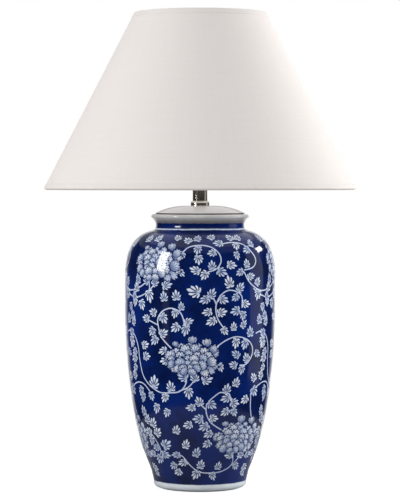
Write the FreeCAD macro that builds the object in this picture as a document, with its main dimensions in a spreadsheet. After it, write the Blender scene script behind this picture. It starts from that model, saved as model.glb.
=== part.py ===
import FreeCAD, Part
import Sketcher
import math
import os

# Ginger jar table lamp, in millimetres. +Z is up and the origin is on the lamp's axis, on the surface that
# the felt stands on. A glazed jar stands on a felt ring. A hollow rod clamps jar, lid, collar and neck
# together and carries the lampholder. A wire harp rises from a saddle under the lampholder, round the bulb,
# and holds the cone shade by its spider and a finial. The rotary key faces the front, -Y, and the cord
# leaves at the back, +Y.

doc = FreeCAD.newDocument("ginger_jar_lamp")

# Every size that can be set by itself, in millimetres, degrees for what ends in _lean.
SIZES = (
    # felt under the foot
    ("felt_thick", 1.2),
    ("felt_inset", 1.5),
    ("felt_width", 9.0),
    # jar, outside, from the foot up
    ("foot_radius", 74.4),
    ("foot_round", 7.6),
    ("foot_height", 10.5),
    ("foot_ring_width", 13.0),
    ("skirt_radius", 78.4),
    ("skirt_height", 27.2),
    ("taper_lean", 9.2),
    ("taper_radius", 1000.0),
    ("flank_radius", 430.0),
    ("belly_radius", 120.5),
    ("belly_bottom", 288.0),
    ("belly_top", 343.0),
    ("shoulder_lean", 19.3),
    ("shoulder_radius", 110.0),
    ("crown_lean", 74.0),
    ("crown_radius", 50.0),
    ("neck_wall_radius", 71.0),
    ("neck_wall_height", 9.0),
    ("lip_radius", 78.6),
    ("lip_height", 15.2),
    ("lip_round", 4.2),
    # jar, inside
    ("jar_wall", 5.5),
    ("jar_floor", 7.0),
    ("foot_recess", 8.0),
    ("rod_hole_gap", 0.6),
    # cord inlet at the back
    ("inlet_height", 29.0),
    ("inlet_bore_radius", 3.6),
    ("inlet_shank_radius", 5.4),
    ("inlet_flange_radius", 8.2),
    ("inlet_flange_thick", 2.2),
    ("inlet_gap", 0.1),
    # hollow rod and the nut and washer below
    ("rod_radius", 5.0),
    ("rod_bore_radius", 3.5),
    ("rod_gap", 0.15),
    ("rod_below_nut", 1.2),
    ("base_washer_radius", 19.0),
    ("base_washer_thick", 1.6),
    ("nut_width", 17.0),
    ("nut_height", 4.0),
    # gasket and lid
    ("gasket_thick", 1.0),
    ("gasket_setback", 2.2),
    ("lid_radius", 72.4),
    ("lid_edge", 1.3),
    ("lid_rise", 12.4),
    ("lid_flat_radius", 24.0),
    ("lid_dome_radius", 105.0),
    ("lid_thick", 5.0),
    ("lid_skirt_depth", 11.0),
    ("lid_skirt_thick", 4.0),
    ("lid_skirt_gap", 1.2),
    # collar and neck
    ("collar_radius", 15.0),
    ("collar_step", 4.8),
    ("collar_height", 8.0),
    ("neck_radius", 11.8),
    ("neck_wall", 0.9),
    ("neck_height", 52.0),
    ("neck_top_thick", 2.0),
    ("neck_spigot", 3.0),
    # harp saddle, nut and harp
    ("saddle_thick", 1.5),
    ("saddle_width", 12.0),
    ("saddle_ear_width", 5.0),
    ("saddle_ear_height", 14.0),
    ("saddle_reach", 27.9),
    ("saddle_nut_height", 3.5),
    ("harp_wire_radius", 1.6),
    ("harp_leg_gap", 0.2),
    ("harp_height", 222.0),
    ("harp_flare_lean", 25.0),
    ("harp_flare_radius", 60.0),
    ("harp_flare_run", 46.0),
    ("harp_side_radius", 90.0),
    ("harp_arch_lean", 35.0),
    ("harp_arch_radius", 110.0),
    ("harp_pad_radius", 7.0),
    ("harp_pad_thick", 2.0),
    ("harp_pad_overlap", 1.0),
    ("sleeve_bore_radius", 3.9),
    ("sleeve_wall", 1.0),
    ("sleeve_length", 17.0),
    # stud on top of the harp
    ("stud_shank_radius", 2.6),
    ("stud_head_radius", 4.4),
    ("stud_head_thick", 1.4),
    ("stud_flange_radius", 6.4),
    ("stud_flange_thick", 2.0),
    ("stud_thread_radius", 3.1),
    ("stud_length", 13.0),
    # bush that the shade's hub turns on
    ("bush_flange_radius", 8.4),
    ("bush_flange_thick", 1.0),
    ("bush_radius", 5.6),
    ("bush_stand", 0.1),
    ("turn_gap", 0.05),
    # shade
    ("shade_bottom_radius", 250.0),
    ("shade_top_radius", 105.0),
    ("shade_height", 281.0),
    ("shade_thick", 1.0),
    ("ring_wire_radius", 1.8),
    ("ring_gap", 0.2),
    ("hem_width", 9.0),
    ("hem_thick", 0.5),
    ("hem_turn_in", 6.3),
    ("hub_radius", 12.0),
    ("hub_thick", 2.0),
    ("spider_drop", 20.5),
    ("arm_radius", 1.7),
    ("arm_flat", 14.0),
    ("arm_weld", 1.5),
    # finial
    ("finial_foot_radius", 6.4),
    ("finial_foot_height", 5.0),
    ("finial_neck_radius", 3.9),
    ("finial_ball_radius", 6.8),
    ("finial_knob_height", 14.5),
    ("finial_bore_gap", 0.2),
    ("finial_tip_gap", 1.0),
    # lampholder
    ("cap_hub_radius", 8.0),
    ("cap_hub_height", 8.0),
    ("cap_radius", 18.2),
    ("cap_height", 22.0),
    ("cap_wall", 0.8),
    ("cap_grip", 5.0),
    ("shell_gap", 0.15),
    ("shell_wall", 0.6),
    ("shell_height", 46.0),
    ("liner_thick", 1.0),
    ("core_height", 24.0),
    ("core_lift", 2.0),
    ("core_waist_radius", 11.5),
    ("core_waist_height", 8.0),
    ("core_seat", 3.0),
    ("screw_shell_wall", 0.5),
    ("screw_shell_height", 20.0),
    ("tongue_radius", 3.2),
    ("tongue_height", 1.6),
    ("tongue_hole_radius", 0.8),
    ("tongue_gap", 2.0),
    ("terminal_radius", 2.6),
    ("terminal_length", 2.4),
    ("set_screw_radius", 1.6),
    ("set_screw_length", 5.0),
    # rotary key
    ("key_height", 9.0),
    ("key_shaft_radius", 2.0),
    ("key_depth", 9.0),
    ("key_hole_gap", 1.2),
    ("key_stand", 3.5),
    ("knob_radius", 6.5),
    ("knob_length", 13.0),
    ("knob_socket", 7.0),
    ("knob_flutes", 12.0),
    ("knob_flute_radius", 0.9),
    ("knob_flute_offset", 0.3),
    # bulb
    ("bulb_gap", 0.2),
    ("contact_radius", 4.6),
    ("contact_thick", 1.6),
    ("insulator_height", 4.2),
    ("bulb_cap_radius", 13.1),
    ("bulb_cap_height", 20.5),
    ("bulb_cap_chamfer", 2.0),
    ("collar_overhang", 0.6),
    ("collar_rim", 3.0),
    ("bulb_clearance", 0.3),
    ("collar_top_radius", 28.0),
    ("collar_cone_height", 33.0),
    ("globe_radius", 30.0),
    ("bulb_length", 108.0),
    ("globe_wall", 1.2),
    ("board_radius", 22.0),
    ("board_thick", 1.6),
)

sheet = doc.addObject("Spreadsheet::Sheet", "sizes")
for row, (alias, number) in enumerate(SIZES, start=1):
    sheet.set(f"A{row}", alias.replace("_", " "))
    sheet.set(f"B{row}", str(number))
    sheet.setAlias(f"B{row}", alias)
doc.recompute()


class Size:
    """A number together with the expression that gives it, so that a feature can be bound to the sheet."""

    def __init__(self, number, text):
        self.number = float(number)
        self.text = text

    def __add__(self, other):
        other = as_size(other)
        return Size(self.number + other.number, f"({self.text} + {other.text})")

    def __sub__(self, other):
        other = as_size(other)
        return Size(self.number - other.number, f"({self.text} - {other.text})")

    def __mul__(self, other):
        other = as_size(other)
        return Size(self.number * other.number, f"({self.text} * {other.text})")

    def __truediv__(self, other):
        other = as_size(other)
        return Size(self.number / other.number, f"({self.text} / {other.text})")

    def __neg__(self):
        return Size(-self.number, f"(0 - {self.text})")

    def __rsub__(self, other):
        return as_size(other) - self

    __radd__ = __add__
    __rmul__ = __mul__


def as_size(value):
    return value if isinstance(value, Size) else Size(value, f"{value:g}")


def cell(alias):
    return Size(sheet.get(alias), f"sizes.{alias}")


def cosine(angle):
    return Size(math.cos(math.radians(angle.number)), f"cos({angle.text} * 1 deg)")


def sine(angle):
    return Size(math.sin(math.radians(angle.number)), f"sin({angle.text} * 1 deg)")


def tangent(angle):
    return Size(math.tan(math.radians(angle.number)), f"tan({angle.text} * 1 deg)")


def root(value):
    return Size(math.sqrt(value.number), f"sqrt({value.text})")


def bind(thing, name, size):
    """Sets a property of a document object to a size and ties it to the sheet."""
    thing.setExpression(name, size.text)


def sagitta(radius, turn):
    """How far an arc of that radius and turn stands off its chord."""
    return radius * (1 - cosine(turn / 2))


def rise_over(radius, run_x, run_y):
    """How far an arc of that radius stands off a chord with those two runs."""
    return radius - root(radius * radius - (run_x * run_x + run_y * run_y) / 4)


ZERO = Size(0, "0")


# ---- sketches ----


def new_body(label):
    body = doc.addObject("PartDesign::Body", label)
    body.Label = label
    return body


def sketch_on(body, role, name, offset=None):
    """A sketch on one of the body's own origin planes, moved along that plane's normal by an offset."""
    sketch = body.newObject("Sketcher::SketchObject", f"{body.Name}_{name}")
    plane = next(f for f in body.Origin.OriginFeatures if f.Role == role)
    sketch.AttachmentSupport = [(plane, "")]
    sketch.MapMode = "FlatFace"
    if offset is not None:
        bind(sketch, "AttachmentOffset.Base.z", offset)
    return sketch


def pin_down(sketch, kind, geometry, position, size):
    """Holds a point's x or y at a size, counted from the sketch's origin."""
    if size.text == "0":
        axis = -2 if kind == "DistanceX" else -1
        sketch.addConstraint(Sketcher.Constraint("PointOnObject", geometry, position, axis))
        return
    index = sketch.addConstraint(Sketcher.Constraint(kind, -1, 1, geometry, position, size.number))
    sketch.setExpression(f"Constraints[{index}]", size.text)


def draw(sketch, corners, closed=True):
    """Draws an outline. A corner is (x, y), or (x, y, rise) where an arc leads on to the next corner, and
    rise is how far that arc stands off its chord, to the right of the way it is drawn. An arc about a point
    of the Y axis, such as a dome's, keeps its centre there."""
    count = len(corners)
    edges = count if closed else count - 1
    first = sketch.GeometryCount
    starts, ends = [], []
    for i in range(edges):
        corner, following = corners[i], corners[(i + 1) % count]
        start = FreeCAD.Vector(corner[0].number, corner[1].number, 0)
        end = FreeCAD.Vector(following[0].number, following[1].number, 0)
        if len(corner) == 2:
            sketch.addGeometry(Part.LineSegment(start, end))
            starts.append(1)
            ends.append(2)
            continue
        rise = corner[2]
        way = (end - start).normalize()
        middle = (start + end) / 2 + FreeCAD.Vector(way.y, -way.x, 0) * rise.number
        sketch.addGeometry(Part.Arc(start, middle, end))
        starts.append(1 if rise.number > 0 else 2)
        ends.append(2 if rise.number > 0 else 1)
    for i in range(edges):
        geometry = first + i
        if closed or i < edges - 1:
            following = first + (i + 1) % edges
            sketch.addConstraint(
                Sketcher.Constraint("Coincident", geometry, ends[i], following, starts[(i + 1) % edges])
            )
        pin_down(sketch, "DistanceX", geometry, starts[i], corners[i][0])
        pin_down(sketch, "DistanceY", geometry, starts[i], corners[i][1])
        if len(corners[i]) == 3:
            run_x = corners[(i + 1) % count][0] - corners[i][0]
            run_y = corners[(i + 1) % count][1] - corners[i][1]
            rise = corners[i][2] if corners[i][2].number > 0 else -corners[i][2]
            radius = ((run_x * run_x + run_y * run_y) / 4 + rise * rise) / (2 * rise)
            if abs(sketch.Geometry[geometry].Center.x) < 1e-6:
                sketch.addConstraint(Sketcher.Constraint("PointOnObject", geometry, 3, -2))
                continue
            index = sketch.addConstraint(Sketcher.Constraint("Radius", geometry, radius.number))
            sketch.setExpression(f"Constraints[{index}]", radius.text)
    if not closed:
        pin_down(sketch, "DistanceX", first + edges - 1, ends[-1], corners[-1][0])
        pin_down(sketch, "DistanceY", first + edges - 1, ends[-1], corners[-1][1])


def draw_circle(sketch, radius, x=ZERO, y=ZERO):
    centre = FreeCAD.Vector(x.number, y.number, 0)
    geometry = sketch.addGeometry(Part.Circle(centre, FreeCAD.Vector(0, 0, 1), radius.number))
    pin_down(sketch, "DistanceX", geometry, 3, x)
    pin_down(sketch, "DistanceY", geometry, 3, y)
    index = sketch.addConstraint(Sketcher.Constraint("Radius", geometry, radius.number))
    sketch.setExpression(f"Constraints[{index}]", radius.text)


# ---- features ----


def turned(label, corners, height=None):
    """A body turned about Z from an outline of (radius, height) corners, stood at a height."""
    body = new_body(label)
    sketch = sketch_on(body, "XZ_Plane", "outline")
    draw(sketch, corners)
    feature = body.newObject("PartDesign::Revolution", f"{label}_turned")
    feature.Profile = sketch
    feature.ReferenceAxis = (sketch, ["V_Axis"])
    feature.Angle = 360
    if height is not None:
        bind(body, "Placement.Base.z", height)
    return body


def padded(body, sketch, name, length, both_ways=False, backwards=False):
    feature = body.newObject("PartDesign::Pad", f"{body.Name}_{name}")
    feature.Profile = sketch
    feature.Midplane = both_ways
    feature.Reversed = backwards
    bind(feature, "Length", length)
    return feature


def pocketed(body, sketch, name, length, both_ways=False, backwards=False):
    """Cuts a pocket, and checks that it took something away."""
    doc.recompute()
    before = body.Shape.Volume
    feature = body.newObject("PartDesign::Pocket", f"{body.Name}_{name}")
    feature.Profile = sketch
    feature.Midplane = both_ways
    feature.Reversed = backwards
    bind(feature, "Length", length)
    doc.recompute()
    if body.Shape.Volume > before - 1e-3:
        raise RuntimeError(f"the pocket {name} of {body.Label} cuts nothing")
    return feature


def tube(label, radius, bore, low, length):
    """A plain tube that stands on a height."""
    return turned(label, [(bore, ZERO), (radius, ZERO), (radius, length), (bore, length)], low)


def hexagon(width):
    """The corners of a hexagon, given its width across flats."""
    reach = width / 2
    half = width * (0.5 / math.sqrt(3))
    right = [(reach, -half), (reach, half), (ZERO, half * 2)]
    return right + [(-reach, half), (-reach, -half), (ZERO, -half * 2)]


def hex_nut(label, width, bore, low, height):
    body = new_body(label)
    sketch = sketch_on(body, "XY_Plane", "outline")
    draw(sketch, hexagon(width))
    draw_circle(sketch, bore)
    padded(body, sketch, "pad", height)
    bind(body, "Placement.Base.z", low)
    return body


def cylinder(label, radius, length, place, axis="z", backwards=False):
    """A primitive cylinder along an axis, from a place given as three sizes."""
    thing = doc.addObject("Part::Cylinder", label)
    thing.Label = label
    bind(thing, "Radius", radius)
    bind(thing, "Height", length)
    turn = {"z": 0, "x": 90, "y": -90}[axis] + (180 if backwards else 0)
    about = FreeCAD.Vector(0, 1, 0) if axis == "x" else FreeCAD.Vector(1, 0, 0)
    thing.Placement.Rotation = FreeCAD.Rotation(about, turn)
    for name, size in zip("xyz", place):
        bind(thing, f"Placement.Base.{name}", size)
    return thing


def joined(kind, label, base, tool):
    """A boolean of two objects, as Part::Cut, Part::Fuse or Part::Common."""
    thing = doc.addObject(kind, label)
    thing.Label = label
    thing.Base = base
    thing.Tool = tool
    return thing


parts = {}


def keep(thing):
    parts[thing.Label] = thing
    return thing


# ---- heights of the stack, from the surface up ----

taper_lean = cell("taper_lean")
shoulder_lean = cell("shoulder_lean")
crown_lean = cell("crown_lean")

taper_end_r = cell("belly_radius") - cell("taper_radius") * (1 - cosine(taper_lean))
taper_end_z = cell("belly_bottom") - cell("taper_radius") * sine(taper_lean)
shoulder_r = cell("belly_radius") - cell("shoulder_radius") * (1 - cosine(shoulder_lean))
shoulder_z = cell("belly_top") + cell("shoulder_radius") * sine(shoulder_lean)
crown_r = shoulder_r - cell("crown_radius") * (cosine(shoulder_lean) - cosine(crown_lean))
crown_z = shoulder_z + cell("crown_radius") * (sine(crown_lean) - sine(shoulder_lean))
neck_foot_z = crown_z + (crown_r - cell("neck_wall_radius")) / tangent(crown_lean)
lip_foot_z = neck_foot_z + cell("neck_wall_height")
jar_height = lip_foot_z + cell("lip_height")

jar_low = cell("felt_thick")
mouth_z = jar_low + jar_height
lid_low = mouth_z + cell("gasket_thick")
lid_top = lid_low + cell("lid_rise")
collar_top = lid_top + cell("collar_height")
neck_top = collar_top + cell("neck_height")
saddle_top = neck_top + cell("saddle_thick")
holder_low = saddle_top + cell("saddle_nut_height")
harp_top = saddle_top + cell("harp_height")
stud_top = harp_top + cell("stud_flange_thick")
hub_low = stud_top + cell("bush_flange_thick")
hub_top = hub_low + cell("hub_thick")
finial_low = hub_top + cell("bush_stand")
shade_top = hub_top + cell("spider_drop")
shade_low = shade_top - cell("shade_height")
rod_hole = cell("rod_radius") + cell("rod_gap")


# ---- jar and what closes it ----


def make_jar():
    """The glazed jar: a recessed foot, a tapered flank, a tall belly, a round shoulder, a short neck and a
    lip."""
    wall = cell("jar_wall")
    foot_r, foot_round = cell("foot_radius"), cell("foot_round")
    skirt_r, skirt_z = cell("skirt_radius"), cell("skirt_height")
    belly_r = cell("belly_radius")
    neck_r, lip_r = cell("neck_wall_radius"), cell("lip_radius")
    lip_round = cell("lip_round")
    ring_in = foot_r - foot_round - cell("foot_ring_width")
    floor_top = cell("foot_recess") + cell("jar_floor")
    flank_run_r, flank_run_z = taper_end_r - skirt_r, taper_end_z - skirt_z
    flank_chord = root(flank_run_r * flank_run_r + flank_run_z * flank_run_z)
    flank_rise = flank_chord * flank_chord / (8 * cell("flank_radius"))
    taper_rise = sagitta(cell("taper_radius"), taper_lean)
    shoulder_rise = sagitta(cell("shoulder_radius"), shoulder_lean)
    crown_rise = sagitta(cell("crown_radius"), crown_lean - shoulder_lean)
    outside = [
        (foot_r - foot_round, ZERO, rise_over(foot_round, foot_round, foot_round)),
        (foot_r, foot_round),
        (foot_r, cell("foot_height")),
        (skirt_r, skirt_z, flank_rise),
        (taper_end_r, taper_end_z, taper_rise),
        (belly_r, cell("belly_bottom")),
        (belly_r, cell("belly_top"), shoulder_rise),
        (shoulder_r, shoulder_z, crown_rise),
        (crown_r, crown_z),
        (neck_r, neck_foot_z),
        (neck_r, lip_foot_z, -lip_round / 4),
        (lip_r, jar_height - lip_round * 1.3, lip_round / 2),
        (lip_r - lip_round, jar_height),
    ]
    inside = [
        (neck_r - wall, jar_height),
        (neck_r - wall, neck_foot_z - wall),
        (crown_r - wall * cosine(crown_lean), crown_z - wall * sine(crown_lean), -crown_rise),
        (shoulder_r - wall * cosine(shoulder_lean), shoulder_z - wall * sine(shoulder_lean), -shoulder_rise),
        (belly_r - wall, cell("belly_top")),
        (belly_r - wall, cell("belly_bottom"), -taper_rise),
        (taper_end_r - wall, taper_end_z, -flank_rise),
        (skirt_r - wall, skirt_z),
        (skirt_r - wall, floor_top),
        (rod_hole + cell("rod_hole_gap"), floor_top),
        (rod_hole + cell("rod_hole_gap"), cell("foot_recess")),
        (ring_in, cell("foot_recess")),
        (ring_in, ZERO),
    ]
    jar = turned("jar_turned", outside + inside, jar_low)
    hole = cylinder(
        "inlet_hole",
        cell("inlet_shank_radius") + cell("inlet_gap"),
        cell("belly_radius"),
        (ZERO, ZERO, jar_low + cell("inlet_height")),
        "y",
    )
    return joined("Part::Cut", "jar_body", jar, hole)


def make_grommet(jar):
    """The bush in the jar's wall that the cord comes in by. Its two flanges follow the wall."""
    outer_face = cell("skirt_radius") + cell("inlet_flange_thick")
    length = cell("jar_wall") + cell("inlet_flange_thick") * 2
    start = outer_face - length
    place = (ZERO, start, jar_low + cell("inlet_height"))
    blank = cylinder("grommet_blank", cell("inlet_flange_radius"), length, place, "y")
    bore = cylinder("grommet_bore", cell("inlet_bore_radius"), length, place, "y")
    ring = joined("Part::Cut", "grommet_ring", blank, bore)
    return joined("Part::Cut", "cord_grommet", ring, jar)


def make_felt():
    outer = cell("foot_radius") - cell("foot_round") - cell("felt_inset")
    return tube("foot_felt", outer, outer - cell("felt_width"), ZERO, cell("felt_thick"))


def make_gasket():
    outer = cell("lid_radius") - cell("gasket_setback")
    inner = cell("neck_wall_radius") - cell("jar_wall")
    return tube("lid_gasket", outer, inner, mouth_z, cell("gasket_thick"))


def make_lid():
    """The domed lid: flat where the collar stands, with a skirt that centres it in the jar's mouth."""
    dome, flat = cell("lid_dome_radius"), cell("lid_flat_radius")
    edge_r, rise, edge = cell("lid_radius"), cell("lid_rise"), cell("lid_edge")
    reach = edge_r - flat
    drop = dome - root(dome * dome - reach * reach)
    chord = root(reach * reach + drop * drop)
    dome_rise = chord * chord / (8 * dome)
    skirt_out = cell("neck_wall_radius") - cell("jar_wall") - cell("lid_skirt_gap")
    skirt_in = skirt_out - cell("lid_skirt_thick")
    roof = rise - cell("lid_thick")
    return turned(
        "lid",
        [
            (rod_hole, roof),
            (flat, roof),
            (skirt_in, -edge),
            (skirt_in, -cell("lid_skirt_depth")),
            (skirt_out, -cell("lid_skirt_depth")),
            (skirt_out, ZERO),
            (edge_r, ZERO),
            (edge_r, edge),
            (edge_r, rise - drop, dome_rise),
            (flat, rise),
            (rod_hole, rise),
        ],
        lid_low,
    )


def make_base_fixings():
    """The washer and nut under the jar's floor, and the hollow rod that they pull on."""
    floor = jar_low + cell("foot_recess")
    washer_low = floor - cell("base_washer_thick")
    nut_low = washer_low - cell("nut_height")
    rod_low = nut_low - cell("rod_below_nut")
    rod_top = holder_low + cell("cap_hub_height")
    washer = tube("base_washer", cell("base_washer_radius"), rod_hole, washer_low, cell("base_washer_thick"))
    nut = hex_nut("base_nut", cell("nut_width"), rod_hole, nut_low, cell("nut_height"))
    rod = tube("lamp_rod", cell("rod_radius"), cell("rod_bore_radius"), rod_low, rod_top - rod_low)
    return washer, nut, rod


def make_neck():
    """The stepped collar on the lid and the neck tube that stands in it."""
    radius, wall, spigot = cell("neck_radius"), cell("neck_wall"), cell("neck_spigot")
    collar_r, step, rise = cell("collar_radius"), cell("collar_step"), cell("collar_height")
    collar = turned(
        "neck_collar",
        [
            (rod_hole, ZERO),
            (collar_r, ZERO),
            (collar_r, step, (collar_r - radius) / 6),
            (radius, rise),
            (radius - wall, rise),
            (radius - wall, rise - spigot),
            (rod_hole, rise - spigot),
        ],
        lid_top,
    )
    height, inner = cell("neck_height"), radius - wall
    neck = turned(
        "neck_tube",
        [
            (inner - wall, -spigot),
            (inner, -spigot),
            (inner, ZERO),
            (radius, ZERO),
            (radius, height),
            (rod_hole, height),
            (rod_hole, height - cell("neck_top_thick")),
            (inner - wall, height - cell("neck_top_thick")),
        ],
        collar_top,
    )
    return collar, neck


# ---- harp ----

leg_x = cell("saddle_reach") - cell("saddle_thick") - cell("harp_leg_gap") - cell("harp_wire_radius")
sleeve_x = (leg_x - cell("harp_wire_radius") + cell("saddle_reach")) / 2


def make_saddle():
    """A strip under the lampholder, with an ear turned up beside each leg of the harp."""
    reach, thick, ear = cell("saddle_reach"), cell("saddle_thick"), cell("saddle_ear_height")
    body = new_body("harp_saddle")
    strip = sketch_on(body, "XY_Plane", "strip")
    half = cell("saddle_width") / 2
    draw(strip, [(-reach, -half), (reach, -half), (reach, half), (-reach, half)])
    draw_circle(strip, rod_hole)
    padded(body, strip, "strip_pad", thick)
    for side, name in ((1, "right"), (-1, "left")):
        ear_sketch = sketch_on(body, "XY_Plane", f"{name}_ear")
        near, far = sorted((side * (reach - thick), side * reach), key=lambda size: size.number)
        half = cell("saddle_ear_width") / 2
        draw(ear_sketch, [(near, -half), (far, -half), (far, half), (near, half)])
        padded(body, ear_sketch, f"{name}_pad", thick + ear)
    bind(body, "Placement.Base.z", neck_top)
    return body


def harp_path():
    """Half of the harp's centre line, from the foot of a leg to the pad: a straight leg, a flare, a side and
    an arch of two arcs, each tangent to the next."""
    lean, arch = cell("harp_flare_lean"), cell("harp_arch_lean")
    flare, side, big = cell("harp_flare_radius"), cell("harp_side_radius"), cell("harp_arch_radius")
    run, pad = cell("harp_flare_run"), cell("harp_pad_radius") - cell("harp_pad_overlap")
    flare_x = leg_x + flare * (1 - cosine(lean))
    run_x = flare_x + run * sine(lean)
    side_x = run_x + side * (1 - cosine(lean))
    arch_x = side_x - big * (1 - cosine(arch))
    small = (arch_x - pad) / cosine(arch)
    top = cell("harp_height") - cell("harp_pad_thick") / 2
    arch_z = top - small * (1 - sine(arch))
    side_z = arch_z - big * sine(arch)
    run_z = side_z - side * sine(lean)
    flare_z = run_z - run * cosine(lean)
    leg_z = flare_z - flare * sine(lean)
    return [
        (leg_x, ZERO),
        (leg_x, leg_z, -sagitta(flare, lean)),
        (flare_x, flare_z),
        (run_x, run_z, sagitta(side, lean)),
        (side_x, side_z, sagitta(big, arch)),
        (arch_x, arch_z, sagitta(small, 90 - arch)),
        (pad, top),
        (ZERO, top),
    ]


def mirrored(corner, side):
    """A corner of the path on one side of the axis: its x and its arc change sign on the left."""
    x = side * corner[0] if corner[0].number else ZERO
    return (x, corner[1], *(side * rise for rise in corner[2:]))


def make_bow():
    """The harp's wire bow, with the flattened pad on top that the stud goes through."""
    body = new_body("harp_bow")
    for side, name in ((1, "right"), (-1, "left")):
        path = sketch_on(body, "XZ_Plane", f"{name}_path")
        draw(path, [mirrored(corner, side) for corner in harp_path()], closed=False)
        section = sketch_on(body, "XY_Plane", f"{name}_section")
        draw_circle(section, cell("harp_wire_radius"), side * leg_x)
        leg = body.newObject("PartDesign::AdditivePipe", f"harp_{name}_wire")
        leg.Profile = section
        leg.Spine = (path, [f"Edge{i + 1}" for i in range(len(harp_path()) - 1)])
        doc.recompute()
    pad = sketch_on(body, "XY_Plane", "pad", cell("harp_height") - cell("harp_pad_thick"))
    draw_circle(pad, cell("harp_pad_radius"))
    padded(body, pad, "top_pad", cell("harp_pad_thick"))
    hole = sketch_on(body, "XY_Plane", "hole", cell("harp_height") + 1)
    draw_circle(hole, cell("stud_shank_radius") + cell("turn_gap"))
    pocketed(body, hole, "stud_hole", cell("harp_pad_thick") * 3)
    bind(body, "Placement.Base.z", saddle_top)
    return body


def make_stud():
    """The stud riveted through the bow's pad. Its thread carries the finial."""
    shank, head, flange = cell("stud_shank_radius"), cell("stud_head_radius"), cell("stud_flange_radius")
    pad = cell("harp_wire_radius") + cell("harp_pad_thick") / 2
    tail = -pad - cell("stud_head_thick")
    top = cell("stud_flange_thick")
    return turned(
        "harp_stud",
        [
            (ZERO, tail),
            (head, tail),
            (head, -pad),
            (shank, -pad),
            (shank, ZERO),
            (flange, ZERO),
            (flange, top),
            (cell("stud_thread_radius"), top),
            (cell("stud_thread_radius"), top + cell("stud_length")),
            (ZERO, top + cell("stud_length")),
        ],
        harp_top,
    )


def make_sleeve(label, side):
    """A sleeve that drops over a leg and its ear and locks them together."""
    bore, wall, length = cell("sleeve_bore_radius"), cell("sleeve_wall"), cell("sleeve_length")
    body = tube(label, bore + wall, bore, saddle_top, length)
    bind(body, "Placement.Base.x", side * sleeve_x)
    return body


# ---- shade ----

slope_r = cell("shade_bottom_radius") - cell("shade_top_radius")
slant = root(slope_r * slope_r + cell("shade_height") * cell("shade_height"))
slant_sine = slope_r / slant
slant_cosine = cell("shade_height") / slant


def on_cone(from_top, along, out):
    """A point of the shade's section: along the slant from an edge, and out from the outer face."""
    edge_r = cell("shade_top_radius") if from_top else cell("shade_bottom_radius")
    edge_z = shade_top if from_top else shade_low
    way = 1 if from_top else -1
    return (
        edge_r + way * along * slant_sine + out * slant_cosine,
        edge_z - way * along * slant_cosine + out * slant_sine,
    )


def make_shade_cover():
    thick = cell("shade_thick")
    return turned(
        "shade_cover",
        [
            on_cone(True, ZERO, ZERO),
            on_cone(True, ZERO, -thick),
            on_cone(False, ZERO, -thick),
            on_cone(False, ZERO, ZERO),
        ],
    )


def ring_centre(from_top):
    wire, gap = cell("ring_wire_radius"), cell("ring_gap")
    return on_cone(from_top, wire + gap, -(cell("shade_thick") + gap + wire))


def make_ring(label, from_top):
    """A wire ring inside an edge of the shade."""
    radius, height = ring_centre(from_top)
    ring = doc.addObject("Part::Torus", label)
    ring.Label = label
    bind(ring, "Radius1", radius)
    bind(ring, "Radius2", cell("ring_wire_radius"))
    bind(ring, "Placement.Base.z", height)
    return ring


def make_hem(label, from_top):
    """The fabric hem that folds over an edge of the shade and round its ring. The spider's arms pierce the
    top one where they reach their ring."""
    thick, cover, width = cell("hem_thick"), cell("shade_thick"), cell("hem_width")
    channel = cover + cell("ring_gap") * 2 + cell("ring_wire_radius") * 2
    inner = cell("hem_turn_in")
    corners = [
        (width, ZERO),
        (width, thick),
        (-thick, thick),
        (-thick, -channel - thick),
        (inner, -channel - thick),
        (inner, -channel),
        (ZERO, -channel),
        (ZERO, ZERO),
    ]
    placed = [on_cone(from_top, along, out) for along, out in corners]
    return turned(label, placed if from_top else placed[::-1])


def make_spider(ring):
    """The hub that the finial clamps and the three arms that carry the top ring, welded together. One arm
    points to the front."""
    hub_r, thick = cell("hub_radius"), cell("hub_thick")
    bore = cell("bush_radius") + cell("turn_gap")
    body = new_body("spider_blank")
    outline = sketch_on(body, "XZ_Plane", "hub")
    draw(outline, [(bore, ZERO), (hub_r, ZERO), (hub_r, thick), (bore, thick)])
    hub = body.newObject("PartDesign::Revolution", "spider_hub")
    hub.Profile = outline
    hub.ReferenceAxis = (outline, ["V_Axis"])
    hub.Angle = 360
    ring_r, ring_z = ring_centre(True)
    arm_z = thick / 2
    start, bend = hub_r - cell("arm_weld"), hub_r + cell("arm_flat")
    run_r, run_z = ring_r - bend, ring_z - hub_low - arm_z
    path = sketch_on(body, "XZ_Plane", "arm_path")
    draw(path, [(start, arm_z), (bend, arm_z), (bend + run_r, arm_z + run_z)], False)
    section = sketch_on(body, "YZ_Plane", "arm_section", start)
    draw_circle(section, cell("arm_radius"), ZERO, arm_z)
    arm = body.newObject("PartDesign::AdditivePipe", "spider_arm")
    arm.Profile = section
    arm.Spine = (path, ["Edge1", "Edge2"])
    arm.Transition = "Round corner"
    doc.recompute()
    spread = body.newObject("PartDesign::PolarPattern", "spider_arms")
    spread.Originals = [arm]
    spread.Axis = (outline, ["V_Axis"])
    spread.Angle = 360
    spread.Occurrences = 3
    body.Tip = spread
    body.Placement.Rotation = FreeCAD.Rotation(FreeCAD.Vector(0, 0, 1), -90)
    bind(body, "Placement.Base.z", hub_low)
    bore_cutter = cylinder("spider_bore", bore, thick * 5, (ZERO, ZERO, hub_low - thick * 2))
    drilled = joined("Part::Cut", "spider_drilled", body, bore_cutter)
    return joined("Part::Cut", "shade_spider", drilled, ring)


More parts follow.
